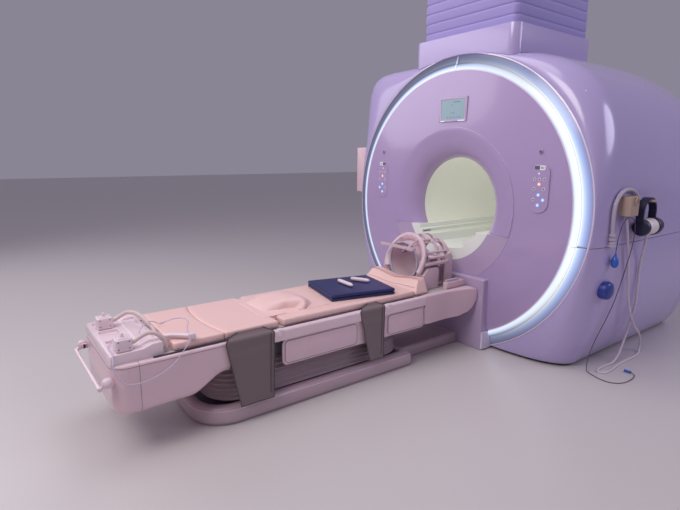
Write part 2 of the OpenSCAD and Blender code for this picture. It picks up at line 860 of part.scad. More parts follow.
call_route = [[1115, 262, 781.3], [1115, 264, 830], [1120, 276, 920], [1130, 304, 985],
    [1140, 345, 1000], [1148, 388, 975], [1144, 418, 900], [1130, 434, 800], [1114, 426, 680],
    [1100, 405, 560], [1088, 368, 440], [1070, 325, 330], [1048, 290, 230], [1032, 262, 140],
    [1026, 240, 60], [1036, 220, 12], [1060, 205, 3.3], [1100, 186, 3.3], [1150, 170, 3.3],
    [1205, 172, 3.3], [1245, 205, 3.3], [1264, 260, 3.3], [1266, 330, 3.3], [1256, 390, 3.3],
    [1238, 414, 5], [1222.3, 418, 8.3]];
module call_tube() {
    color("black") tube(call_route, call_d, 2, 8);
}

/* Couch base */

bellows_half_w = 262;
bellows_foot = plinth_foot - 87;
bellows_head = plinth_head + 30;
bellows_top = 298;
bellows_wall = 2.5;
rim_inner = 240;
deck_z = 30;
link_half_w = 190;
link_h = 80;
column_ys = [-1750, -950];
tube_fit = 0.08;
stage_top = 400;

// Plan of the plinth: round foot end, nearly square head end
module plinth_plan(d) {
    foot_round(plinth_half_w - d, -plinth_foot + d, -plinth_head - d, 200 - d);
}

module plinth() {
    rim = 24;
    draft = 10;
    color("gainsboro") difference() {
        union() {
            plan(0, 14) plinth_plan(12);
            plan(14, plinth_h * 0.55) plinth_plan(0);
            plan(plinth_h * 0.55, plinth_h * 0.85) plinth_plan(draft / 3);
            plan(plinth_h * 0.85, plinth_h) plinth_plan(draft);
        }
        plan(deck_z, plinth_h + 1) round_rect(-rim_inner, -plinth_foot + 110, rim_inner,
            -plinth_head - 2 * rim, 150);
    }
}

// Low cover over the cables between plinth and gantry
module link_bar() {
    color("gainsboro") upright(-plinth_head + fit, -pillar_y - fit) {
        round_rect(-link_half_w, 0, link_half_w, link_h, 24);
        translate([-link_half_w, 0]) square([2 * link_half_w, 30]);
    }
}

// Outline of the bellows at a pleat inset d, as points round a rounded rectangle
function bellows_ring(z, d) =
    let (w = bellows_half_w - d, r = 170 - d, y0 = -bellows_foot + d, y1 = -bellows_head - d,
        mids = [[w - r, y1 - r], [-w + r, y1 - r], [-w + r, y0 + r], [w - r, y0 + r]])
    [for (q = [0:3]) for (a = [0:15:90])
        [mids[q][0] + r * cos(a + 90 * q), face_y + mids[q][1] + r * sin(a + 90 * q), z]];

// Pleated skirt, open above and below
module bellows() {
    z0 = plinth_h + fit;
    step = (bellows_top - z0) / (2 * pleats);
    outer = [for (k = [0:2 * pleats]) [z0 + k * step, k % 2 == 0 ? pleat_depth : 0]];
    rows = concat(outer, [for (k = [2 * pleats:-1:0]) outer[k] + [0, bellows_wall]]);
    m = len(bellows_ring(0, 0));
    color("silver") ring_skin([for (j = [0:m - 1]) [for (row = rows)
        bellows_ring(row[0], row[1])[j]]]);
}

// Tube of one lift stage at both column places
module lift_stage(r, wall, z0, z1) {
    color("silver") for (y = column_ys) translate([0, face_y + y, z0]) difference() {
        cylinder(r = r, h = z1 - z0, $fn = 64);
        translate([0, 0, -1]) cylinder(r = r - wall, h = z1 - z0 + 2, $fn = 64);
    }
}
mid_r = lift_r - lift_wall - tube_fit;
inner_r = mid_r - lift_wall - tube_fit;
frame_top = top_h - 20;
module lift_outer_tubes() {
    lift_stage(lift_r, lift_wall, deck_z + fit, stage_top);
}
module lift_middle_tubes() {
    lift_stage(mid_r, lift_wall, deck_z + 5, stage_top + 10);
}
module lift_inner_tubes() {
    lift_stage(inner_r, lift_wall, deck_z + 10, frame_top - fit);
}

/* Couch */

frame_z = bellows_top + fit;
frame_foot = 2150;
frame_head = 560;
frame_half_w = 240;
skin_x = couch_half_w - 10;
skin_t = 12;
rail_z0 = 395;
rail_z1 = 460;
rail_foot = 1900;
rail_head = 520;
rail_in = 285;

// Box chassis with cross members that carry the sides
module couch_frame() {
    web = 8;
    color("dimgray") {
        difference() {
            mid_block(frame_half_w, -bellows_foot, -bellows_head, frame_z, frame_z + 6);
            for (y = column_ys) translate([0, face_y + y, 0]) cylinder(r = lift_r + 12, h = 900, $fn = 64);
            for (y = [-1500, -1150]) translate([0, face_y + y, 0]) cylinder(r = 110, h = 900, $fn = 64);
        }
        both_sides() block([frame_half_w - web, -frame_foot, frame_z + 40],
            [web, frame_foot - frame_head, frame_top + 8 - frame_z - 40]);
        both_sides() block([frame_half_w - web, -bellows_foot, frame_z],
            [web, bellows_foot - bellows_head, 60]);
        for (y = [-frame_foot, -frame_head - web]) mid_block(frame_half_w, y, y + web, frame_z + 40, frame_top + 8);
        mid_block(frame_half_w, -frame_foot, -frame_head, frame_top, frame_top + web);
        both_sides() block([140, -frame_foot, frame_top + web - 1], [24, frame_foot - frame_head, top_h - fit - frame_top - web + 1]);
        for (y = [-1850, -1400, -1000, -620]) both_sides()
            block([frame_half_w - 1, y, frame_z + 50], [skin_x - skin_t - fit - frame_half_w + 1, 30, 30]);
    }
}

// Side profile of the housings: level underside that steps up over the bellows
module housing_side() {
    polygon([[-2330, 213], [-2080, 213], [-2060, 218], [-1992, 290], [-1975, frame_z + 0.5],
        [-1900, frame_z + 0.5], [-1900, top_h + 10], [-2330, top_h + 10]]);
}

// Cover round the foot end of the chassis
module foot_housing() {
    floor_t = 12;
    color("gainsboro") difference() {
        across(-skin_x, skin_x) housing_side();
        mid_block(skin_x - skin_t, -frame_foot - 20, -1800, 213 + floor_t + 80, top_h - 8);
        mid_block(skin_x - skin_t, -2318, -2060, 213 + floor_t, top_h - 8);
        mid_block(top_half_w - 13, -frame_foot - 5, -1800, 300, top_h + 20);
        mid_block(skin_x - skin_t, -1980, -1890, 250, 330);
        mid_block(top_half_w + 0.5, -2400, -1800, top_h - fit, top_h + 20);
    }
}

handle_y = -2463;
handle_z = 388;
handle_r = 11;
handle_span = 286;
handle_pin_r = 5;
boss_x = handle_span - 2 * handle_r;
// Round bar on the release handle's axis
module handle_axle(r, x0, x1) {
    translate([x0, face_y + handle_y, handle_z]) rotate([0, 90, 0])
        cylinder(r = r, h = x1 - x0, $fn = 32);
}

// Lug with a pin that carries one end of the release handle
module handle_lug() {
    lug_t = 16;
    x1 = boss_x - fit;
    handle_axle(handle_r, x1 - lug_t, x1);
    block([x1 - lug_t, handle_y, handle_z - handle_r], [lug_t, 34, 2 * handle_r]);
    handle_axle(handle_pin_r, x1 - lug_t / 2, handle_span);
}

// Rounded cap that closes the foot of the couch
module end_cap() {
    r = 70;
    t = 10;
    color("gainsboro") both_sides() handle_lug();
    color("gainsboro") difference() {
        plan(213, top_h + 10) foot_round(skin_x, -2445, -2330 - fit, r);
        plan(213 + t, top_h - t) foot_round(skin_x - t, -2445 + t, -2300, r - t);
        mid_block(top_half_w + 0.5, -2443, -2300, top_h - fit, top_h + 20);
        mid_block(skin_x + 1, -2330 - fit, -2200, 200, top_h + 20);
    }
}

// Side rail: an outer wall, a lip on top and a flange on the chassis
module side_rails() {
    color("lightsteelblue") both_sides() upright(-rail_foot + fit, -rail_head) polygon([
        [frame_half_w + fit, 427], [rail_in, 427], [rail_in, rail_z0], [couch_half_w - 4, rail_z0],
        [couch_half_w, rail_z0 + 6], [couch_half_w, rail_z1 - 6], [couch_half_w - 4, rail_z1],
        [rail_in + 6, rail_z1], [rail_in, rail_z1 - 4], [rail_in, 437], [frame_half_w + fit, 437]]);
}

// Panel under each rail with rounded lower corners
module side_skirts() {
    r = 30;
    color("gainsboro") both_sides() across(skin_x - skin_t, skin_x + 2) {
        round_rect(-1600, 250, -rail_head, rail_z0 - fit, r);
        translate([-1600, 320]) square([1600 - rail_head, rail_z0 - fit - 320]);
    }
}

// Flared arms that run on to the gantry
module head_arms() {
    tip = -pillar_y - 10;
    color("gainsboro") both_sides() difference() {
        plan(250, 460) polygon([[282, -rail_head + fit], [305, -rail_head + fit], [305, -320],
            [312, -260], [332, -160], [350, -90], [360, tip], [282, tip]]);
        across(200, 400) polygon([[-rail_head - 1, 240], [-rail_head - 1, 290], [-470, 250],
            [-470, 240]]);
    }
}

// Release bar across the foot end, with its bent ends and bosses
module release_handle() {
    reach = -32;
    drop = -23;
    color("gainsboro") difference() {
        union() {
            translate([-handle_span, face_y + handle_y + reach, handle_z + drop])
                rotate([0, 90, 0]) cylinder(r = handle_r, h = 2 * handle_span, $fn = 32);
            both_sides() hull() {
                translate([handle_span - handle_r, face_y + handle_y + reach, handle_z + drop])
                    sphere(handle_r, $fn = 24);
                translate([handle_span - handle_r, face_y + handle_y, handle_z])
                    sphere(handle_r, $fn = 24);
            }
            both_sides() handle_axle(handle_r, boss_x, handle_span);
        }
        handle_axle(handle_pin_r + tube_fit, -handle_span - 1, handle_span + 1);
    }
}

// Straps that hang from the rails
module straps() {
    x = couch_half_w + fit;
    color("dimgray") both_sides() {
        upright(-1930, -1930 + strap_w) polygon([[x, 452], [x + 4, 455], [x + 10, 380],
            [x + 16, 105], [x + 12, 105], [x + 5, 380], [x, 430]]);
        upright(-1080, -860) polygon([[x, 452], [x + 4, 455], [x + 10, 380], [x + 16, 135],
            [x + 12, 135], [x + 5, 380], [x, 430]]);
    }
}

/* Tabletop and what lies on it */

board_foot = 2441;
board_head = 100;
lie = top_h + top_t + fit;
pad_top = top_h + top_t + pad_t;
pad_half_w = top_half_w - 5;
pad_r = 30;
curve_r = 1130;

// Long board with a round-cornered head end and two latch blocks
module tabletop() {
    color("silver") {
        plan(top_h, top_h + top_t) {
            round_rect(-top_half_w, -board_foot, top_half_w, -board_head, 30);
        }
        both_sides() plan(top_h + 1, 505) round_rect(238, -280, top_half_w - fit, -board_head - 4, 8);
    }
}

// Connector box on the foot end with sockets along its top
module port_box() {
    color("whitesmoke") difference() {
        across(-top_half_w + 5, top_half_w - 5) polygon([[-2440, lie], [-2440, 492], [-2432, 500],
            [-2300, 503], [-2262, 518], [-2215, 520], [-2215, lie]]);
        for (x = [-215, -60, 95]) plan(488, 530) round_rect(x - 32, -2418, x + 32, -2330, 8);
        mid_block(190, -2290, -2225, 506, 530);
    }
}

plug_w = 70;
plug_h = 58;
plug_ys = [-2412, -2340];
// Two coil plugs standing on the connector box
module coil_plugs() {
    color("whitesmoke") for (x = plug_xs) plan(503 + fit, 503 + plug_h)
        round_rect(x - plug_w / 2, plug_ys[0], x + plug_w / 2, plug_ys[1], 9);
}
plug_xs = [-140, 222];

cable_d = 16;
cable_a = [[-140, -2338.8, 535], [-140, -2326, 536], [-137, -2300, 550], [-118, -2268, 568],
    [-72, -2240, 572], [-24, -2222, 560], [20, -2206, 538], [56, -2194, 514], [84, -2190, 490],
    [98, -2190, 467]];
cable_b = [[222, -2338.8, 532], [222, -2326, 533], [223, -2302, 546], [227, -2268, 560],
    [232, -2236, 554], [236, -2208, 532], [238, -2192, 504], [238, -2190, 467]];
// Thick cables from the plugs down to the board
module plug_cables() {
    color("antiquewhite") {
        tube(cable_a, cable_d, 2, 10);
        tube(cable_b, cable_d, 2, 10);
    }
}

lead_d = 4;
lead_route = [[62, -2262, 506.6], [62, -2254, 528], [52, -2226, 552], [22, -2184, 542],
    [-20, -2144, 512], [-48, -2108, 503], [-72, -2060, 502.8], [-70, -2015, 502.8], [-36, -1998, 502.8],
    [20, -2004, 502.8], [70, -2026, 502.8], [130, -2050, 502.8], [200, -2066, 502.8],
    [256, -2078, 502.8], [290, -2096, 500], [307, -2120, 482], [313, -2160, 440],
    [314, -2200, 408], [314, -2260, 380], [314, -2330, 366], [315, -2390, 376],
    [316, -2426, 415], [310, -2440, 462], [290, -2436, 492], [262, -2430, 506], [228, -2428, 507],
    [186, -2428, 507], [150, -2422, 509], [124, -2404, 506], [108, -2386, 500], [102, -2376, 492]];
// Thin sensor lead over the mattress and down the side
module sensor_lead() {
    color("lavender") tube(lead_route, lead_d, 2, 8);
}

module curve_disc(grow) {
    translate([0, -1940 + curve_r]) circle(curve_r + grow, $fn = 360);
}

// Foot pad with a hollow head end
module mattress_foot() {
    color("mistyrose") plan(lie, pad_top) difference() {
        round_rect(-pad_half_w, -2165, pad_half_w, -1880, pad_r);
        curve_disc(1);
        translate([-400, -1905]) square([800, 100]);
    }
}

// Middle pad whose rounded end fits the foot pad
module mattress_mid() {
    color("mistyrose") plan(lie, pad_top) intersection() {
        round_rect(-pad_half_w, -1950, pad_half_w, -1600, 12);
        curve_disc(0);
    }
}

module mattress_head() {
    color("mistyrose") plan(lie, pad_top) round_rect(-pad_half_w, -1575, pad_half_w, -585, 12);
}

// Thick pad under the shoulders, tapered at its sides
module collar_pad() {
    slope = 40;
    color("mistyrose") upright(-582, -456) polygon([[-pad_half_w + 2, lie], [pad_half_w - 2, lie],
        [pad_half_w - 2, lie + 12], [pad_half_w - slope, lie + collar_t],
        [-pad_half_w + slope, lie + collar_t], [-pad_half_w + 2, lie + 12]]);
}

wedge_foot = -1737;
ridge = -1371;
ridge_r = 22;
// Knee wedge with a soft ridge
module wedge_cushion() {
    z = pad_top + fit;
    color("linen") across(-215, 190) polygon(concat([[wedge_foot, z], [wedge_foot - 4, z + 8]],
        [for (a = [112:-11:50]) [ridge + ridge_r * cos(a), z + wedge_h - ridge_r + ridge_r * sin(a)]],
        [[wedge_foot + wedge_len + 4, z + 8], [wedge_foot + wedge_len, z]]));
}

fold_at = [18, -925];
fold_turn = -12;
// Pad folded in two
module folded_pad() {
    r = fold_pad_t / 4;
    color("midnightblue") translate([fold_at[0], face_y + fold_at[1], pad_top + fit])
        rotate([0, 0, fold_turn]) rotate([90, 0, 90]) translate([0, 0, -fold_pad_w / 2])
        linear_extrude(fold_pad_w) {
            w = fold_pad_w * 1.1 / 2;
            round_rect(-w, 0, w, fold_pad_t / 2 - 0.5, r - 1);
            round_rect(-w, fold_pad_t / 2 + 0.5, w, fold_pad_t, r - 1);
            translate([-w, r]) square([r, fold_pad_t - 2 * r]);
            translate([-w + r, fold_pad_t / 2 - 1]) square([w / 2, 2]);
        }
}

// Two small pads lying on the folded one
module hand_pads() {
    z = pad_top + fold_pad_t + 2 * fit;
    r = 13;
    color("whitesmoke") for (p = [[8, -960, -4, 150], [0, -830, 25, 120]])
        translate([p[0], face_y + p[1], z + r]) rotate([0, 0, p[2]]) rotate([0, 90, 0]) {
            translate([0, 0, -p[3] / 2]) cylinder(r = r, h = p[3], $fn = 32);
            for (s = [-1, 1]) translate([0, 0, s * p[3] / 2]) sphere(r, $fn = 32);
        }
}

/* Head coil */

coil_foot = 450;
coil_split = 600;
coil_back = 45;
hinge_y = -470;
hinge_z = 745;
pin_r = 3;
barrel_r = 6;

module coil_round(r, y0, y1) {
    translate([0, face_y + y0, coil_axis_h]) rotate([-90, 0, 0]) cylinder(r = r, h = y1 - y0, $fn = 96);
}

// Lower half of the coil with its flat foot
module coil_base() {
    color("whitesmoke") difference() {
        union() {
            coil_round(coil_r, -coil_foot, -board_head - 10);
            plan(lie, 520) round_rect(-coil_r, -coil_foot, coil_r, -board_head - 10, 12);
            both_sides() plan(540, coil_split) round_rect(coil_r - 40, -380, coil_r + 12, -300, 6);
        }
        coil_round(coil_bore_r, -coil_foot - 1, 0);
        above(coil_split);
        below(lie);
    }
}

// Upper half: an open cage with windows, a carrying loop and the mirror's lugs
module coil_top() {
    split = coil_split + fit;
    color("whitesmoke") {
        difference() {
            coil_round(coil_r, -coil_foot, -coil_back);
            coil_round(coil_bore_r, -coil_foot - 1, -coil_back - 20);
            below(split);
            for (a = [-56, 0, 56]) translate([0, face_y, coil_axis_h]) rotate([0, a, 0]) {
                translate([-46, -400, 90]) cube([92, 120, 200]);
                translate([-46, -245, 90]) cube([92, 130, 200]);
            }
            both_sides() for (a = [28]) translate([0, face_y, coil_axis_h]) rotate([0, a, 0])
                translate([-12, -330, 90]) cube([24, 150, 200]);
        }
        both_sides() hull() {
            translate([mirror_w / 2 + 6, face_y + hinge_y, hinge_z]) rotate([0, 90, 0])
                cylinder(r = barrel_r + 2, h = 8, $fn = 32);
            block([mirror_w / 2 + 6, -coil_foot - 1, hinge_z - 8], [8, 20, 22]);
        }
        translate([-mirror_w / 2 - 7, face_y + hinge_y, hinge_z]) rotate([0, 90, 0])
            cylinder(r = pin_r, h = mirror_w + 14, $fn = 32);
    }
}

mirror_len = 150;
mirror_tilt = 12;
// Mirror plate on its hinge barrel
module coil_mirror() {
    plate_t = 5;
    half = mirror_w / 2;
    color("lightblue") translate([0, face_y + hinge_y, hinge_z]) difference() {
        union() {
            translate([-half, 0, 0]) rotate([0, 90, 0]) cylinder(r = barrel_r, h = mirror_w, $fn = 32);
            rotate([-mirror_tilt, 0, 0]) translate([-half, -mirror_len, -plate_t / 2])
                cube([mirror_w, mirror_len - (pin_r + barrel_r) / 2, plate_t]);
        }
        translate([-half - 1, 0, 0]) rotate([0, 90, 0])
            cylinder(r = pin_r + tube_fit, h = mirror_w + 2, $fn = 32);
    }
}

magnet_vessel();
magnet_feet();
gradient_coil();
body_coil();
cold_head();
bore_liner();
front_flare();
face_cover();
table_gate();
table_bridge();
ring_light();
ring_channel();
dock_pillar();
base_skirt();
upper_cover();
side_cover_left();
side_cover_right();
rear_cover();
turret_cover();
duct_shroud();
display_housing();
display_screen();
keypads();
side_box();
holder_box();
headset();
call_bulb();
side_knob();
air_tube();
headset_hose();
call_tube();
plinth();
link_bar();
bellows();
lift_outer_tubes();
lift_middle_tubes();
lift_inner_tubes();
couch_frame();
foot_housing();
end_cap();
side_rails();
side_skirts();
head_arms();
release_handle();
straps();
tabletop();
port_box();
coil_plugs();
plug_cables();
sensor_lead();
mattress_foot();
mattress_mid();
mattress_head();
collar_pad();
wedge_cushion();
folded_pad();
hand_pads();
coil_base();
coil_top();
coil_mirror();
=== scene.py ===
"""Looks of the MRI scanner with its docked couch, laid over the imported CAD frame."""
from __future__ import annotations

import json
import logging
import math
from contextlib import contextmanager
from dataclasses import dataclass, field
from enum import Enum
from typing import Callable, Iterable, Iterator, Sequence

import bmesh
import bpy
import numpy as np
from mathutils import Matrix, Vector

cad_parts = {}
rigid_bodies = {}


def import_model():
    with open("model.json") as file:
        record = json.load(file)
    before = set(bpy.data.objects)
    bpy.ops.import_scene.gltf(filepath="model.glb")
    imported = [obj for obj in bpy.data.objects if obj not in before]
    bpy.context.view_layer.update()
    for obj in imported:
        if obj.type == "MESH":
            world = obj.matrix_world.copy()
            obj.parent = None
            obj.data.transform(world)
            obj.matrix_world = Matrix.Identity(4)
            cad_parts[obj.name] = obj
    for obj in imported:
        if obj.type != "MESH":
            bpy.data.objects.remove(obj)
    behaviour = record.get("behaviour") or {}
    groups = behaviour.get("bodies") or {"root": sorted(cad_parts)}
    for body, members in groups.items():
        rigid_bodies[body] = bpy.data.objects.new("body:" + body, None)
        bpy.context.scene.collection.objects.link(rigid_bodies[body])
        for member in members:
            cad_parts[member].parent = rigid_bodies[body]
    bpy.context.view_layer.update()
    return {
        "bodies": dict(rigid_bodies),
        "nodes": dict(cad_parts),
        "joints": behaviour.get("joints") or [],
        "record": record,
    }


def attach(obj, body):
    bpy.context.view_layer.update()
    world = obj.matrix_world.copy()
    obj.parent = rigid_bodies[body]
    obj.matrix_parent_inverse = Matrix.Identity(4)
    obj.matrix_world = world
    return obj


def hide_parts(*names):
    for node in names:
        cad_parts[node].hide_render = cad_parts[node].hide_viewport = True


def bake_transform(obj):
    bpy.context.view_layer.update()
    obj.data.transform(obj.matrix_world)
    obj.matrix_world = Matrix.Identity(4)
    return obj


LOG = logging.getLogger("scanner")
# Metres in a millimetre, and the face plane's place along the bore in metres
MM = 0.001
FACE_Y = -0.87
# Heights of the bore axis, of the covers' seam and of their lower edge, in millimetres
AXIS_H = 1000.0
SEAM_H = 825.0
SKIRT_H = 20.0
# Mouth of each flare: its radius, how far it narrows and how deep it runs
MOUTH_R = 565.0
FLARE_IN = 210.0
FLARE_DEEP = 127.0
# Wall of the moulded covers, and half the width of the couch's housings
WALL = 8.0
HOUSING_HALF = 300.0
# Share by which a paint varies over a surface
MOTTLE = 0.02
UP = (0, 0, 1)
DOWN = (0, 0, -1)
Point = Sequence[float]
Plane = tuple[Point, Point]


def to_row(points: Iterable[Point]) -> np.ndarray:
    """Turns millimetres measured from the face plane into metres in the row frame.

    Args:
        points: Points as x, depth behind the face and height.

    Returns:
        An array of points in metres.
    """
    return np.asarray(list(points), float) * MM + np.array([0.0, FACE_Y, 0.0])


class Grain(Enum):
    """Surface reliefs: scale, stretch along each axis and strength of the bump."""

    SMOOTH = None
    MOULDED = (900.0, (1.0, 1.0, 1.0), 0.05)
    VINYL = (420.0, (1.0, 1.0, 1.0), 0.22)
    WEAVE = (700.0, (1.0, 1.0, 1.0), 0.5)
    BRUSHED = (300.0, (1.0, 1.0, 0.05), 0.1)


@dataclass(frozen=True)
class Finish:
    """Colour and surface of one material."""

    slot: str
    base: tuple[float, float, float]
    rough: float = 0.4
    metal: float = 0.0
    coat: float = 0.0
    grain: Grain = Grain.SMOOTH
    sheen: float = 0.0
    glow: float = 0.0


class Paint(Enum):
    """Every finish used on the scanner."""

    # Painted light: the covers are white, and their lavender is the colour of the room's light painted into
    # them.
    COVER_LIGHT_TINT = Finish("cover_white", (0.47, 0.39, 0.66), 0.22, coat=0.5)
    # Painted shade: the face and the trim set on it are painted darker and more purple than their own pale
    # colours, for the shade on the face.
    FACE = Finish("cover_white", (0.45, 0.34, 0.57), 0.20, coat=0.6)
    TRIM_SHADED = Finish("trim_lavender", (0.49, 0.38, 0.56), 0.30, coat=0.3)
    BEZEL = Finish("trim_lavender", (0.78, 0.69, 0.86), 0.25, coat=0.5)
    # Painted light: the liner, bridge and step in the bore glow, standing in for the bore's lamps lighting
    # them.
    BORE_LIT = Finish("bore_pale", (0.76, 0.77, 0.68), 0.28, coat=0.4, glow=0.20)
    LEDGE_LIT = Finish("bore_pale", (0.74, 0.76, 0.72), 0.32, coat=0.3, glow=0.10)
    COUCH = Finish("housing_grey", (0.74, 0.54, 0.59), 0.34, coat=0.25, grain=Grain.MOULDED)
    PLINTH = Finish("housing_grey", (0.47, 0.35, 0.39), 0.38, coat=0.15, grain=Grain.MOULDED)
    RAIL = Finish("rail_aluminium", (0.81, 0.62, 0.66), 0.30, coat=0.4)
    BOARD = Finish("board_grey", (0.52, 0.47, 0.48), 0.42, grain=Grain.MOULDED)
    DARK = Finish("skirt_dark", (0.035, 0.03, 0.045), 0.6)
    JOINT = Finish("skirt_dark", (0.16, 0.14, 0.19), 0.6)
    SCREEN = Finish("display_glass", (0.24, 0.37, 0.41), 0.2, coat=0.3, glow=0.10)
    ICON_BLUE = Finish("display_glass", (0.06, 0.25, 0.62), 0.2, glow=0.5)
    ICON_DARK = Finish("display_glass", (0.10, 0.16, 0.20), 0.2)
    KEY = Finish("cover_white", (0.66, 0.63, 0.72), 0.35)
    KEY_DARK = Finish("skirt_dark", (0.14, 0.12, 0.17), 0.4)
    KEY_RED = Finish("cover_white", (0.90, 0.32, 0.22), 0.3, glow=0.4)
    KEY_BLUE = Finish("cover_white", (0.26, 0.46, 0.90), 0.3, glow=0.4)
    LED = Finish("cover_white", (0.86, 0.90, 0.96), 0.3, glow=0.35)
    # Painted light: the pale cloth round the duct is given the blue-purple of the light that falls on it.
    DUCT_LIGHT_TINT = Finish("duct_fabric", (0.33, 0.28, 0.58), 0.8, grain=Grain.WEAVE, sheen=0.3)
    VINYL = Finish("vinyl_beige", (0.84, 0.57, 0.53), 0.42, coat=0.1, grain=Grain.VINYL)
    WEDGE = Finish("vinyl_beige", (0.84, 0.58, 0.55), 0.45, coat=0.1, grain=Grain.VINYL)
    SEAM = Finish("vinyl_beige", (0.45, 0.30, 0.27), 0.6)
    NAVY_PAD = Finish("pad_navy", (0.012, 0.016, 0.10), 0.42, coat=0.1, grain=Grain.VINYL)
    STRAP = Finish("strap_grey", (0.19, 0.14, 0.145), 0.85, grain=Grain.WEAVE, sheen=0.2)
    EDGING = Finish("strap_grey", (0.085, 0.075, 0.08), 0.8, grain=Grain.WEAVE)
    BELLOWS = Finish("bellows_grey", (0.36, 0.275, 0.30), 0.55)
    PLUG = Finish("coil_white", (0.81, 0.66, 0.71), 0.32, coat=0.3)
    COIL = Finish("coil_white", (0.68, 0.51, 0.56), 0.33, coat=0.3)
    # Painted shade: a dark copy of the coil's white, used for its recesses.
    COIL_SHADE = Finish("coil_white", (0.24, 0.16, 0.19), 0.5)
    RIM_GLASS = Finish("coil_white", (0.46, 0.46, 0.60), 0.10, coat=0.8)
    CABLE = Finish("cable_beige", (0.70, 0.56, 0.54), 0.5)
    LEAD = Finish("hose_white", (0.60, 0.55, 0.74), 0.4)
    HOSE = Finish("hose_white", (0.68, 0.60, 0.67), 0.42)
    CORD = Finish("cord_black", (0.10, 0.07, 0.09), 0.5)
    BULB = Finish("bulb_blue", (0.03, 0.11, 0.52), 0.32, coat=0.3)
    KNOB = Finish("knob_navy", (0.02, 0.04, 0.27), 0.38, coat=0.2)
    NAVY = Finish("knob_navy", (0.014, 0.016, 0.05), 0.4)
    CUP = Finish("coil_white", (0.80, 0.72, 0.70), 0.4)
    TAN = Finish("box_tan", (0.47, 0.34, 0.27), 0.5, grain=Grain.MOULDED)
    ARCH = Finish("tube_grey", (0.50, 0.44, 0.54), 0.45, grain=Grain.MOULDED)
    STEEL = Finish("tube_steel", (0.60, 0.60, 0.62), 0.3, metal=1.0, grain=Grain.BRUSHED)
    METAL_FRAME = Finish("frame_paint", (0.20, 0.20, 0.22), 0.5)
    VESSEL = Finish("vessel_paint", (0.60, 0.61, 0.64), 0.4)
    RESIN = Finish("resin_brown", (0.32, 0.20, 0.11), 0.5)
    CAST = Finish("cold_head_metal", (0.52, 0.53, 0.55), 0.4, metal=0.9)
    MIRROR = Finish("mirror_glass", (0.85, 0.87, 0.90), 0.04, metal=1.0)


class Tree:
    """Adds nodes to a node tree, sets their inputs and links them."""

    def __init__(self, tree: bpy.types.NodeTree) -> None:
        """Takes the tree to fill.

        Args:
            tree: A material's tree or a group.
        """
        self.tree = tree

    @classmethod
    def group(cls, name: str, kind: str, inputs: dict[str, str], outputs: dict[str, str]) -> "Tree":
        """Starts a node group.

        Args:
            name: The group's name.
            kind: The kind of tree.
            inputs: Kind of socket for each input's label.
            outputs: Kind of socket for each output's label.

        Returns:
            The group's tree.
        """
        tree = bpy.data.node_groups.new(name, kind)
        for way, sockets in (("INPUT", inputs), ("OUTPUT", outputs)):
            for label, socket in sockets.items():
                tree.interface.new_socket(label, in_out=way, socket_type="NodeSocket" + socket)
        return cls(tree)

    def fill(self, node: bpy.types.Node, inputs: dict[str | int, object]) -> None:
        """Sets or links inputs of a node.

        Args:
            node: The node.
            inputs: A value or another node's socket for each input's name or index.
        """
        for key, value in inputs.items():
            if isinstance(value, bpy.types.NodeSocket):
                self.tree.links.new(value, node.inputs[key])
            else:
                node.inputs[key].default_value = value

    def add(self, kind: str, inputs: dict[str | int, object] | None = None,
            **settings: object) -> bpy.types.NodeOutputs:
        """Adds a node.

        Args:
            kind: The node's type.
            inputs: What its inputs take.
            settings: Its own properties.

        Returns:
            The node's outputs.
        """
        node = self.tree.nodes.new(kind)
        for name, value in settings.items():
            setattr(node, name, value)
        self.fill(node, inputs or {})
        return node.outputs


def new_material(name: str) -> tuple[bpy.types.Material, Tree, bpy.types.Node]:
    """Makes a material with nodes.

    Args:
        name: The material's name.

    Returns:
        The material, its tree and its shader.
    """
    material = bpy.data.materials.new(name)
    material.use_nodes = True
    return material, Tree(material.node_tree), material.node_tree.nodes["Principled BSDF"]


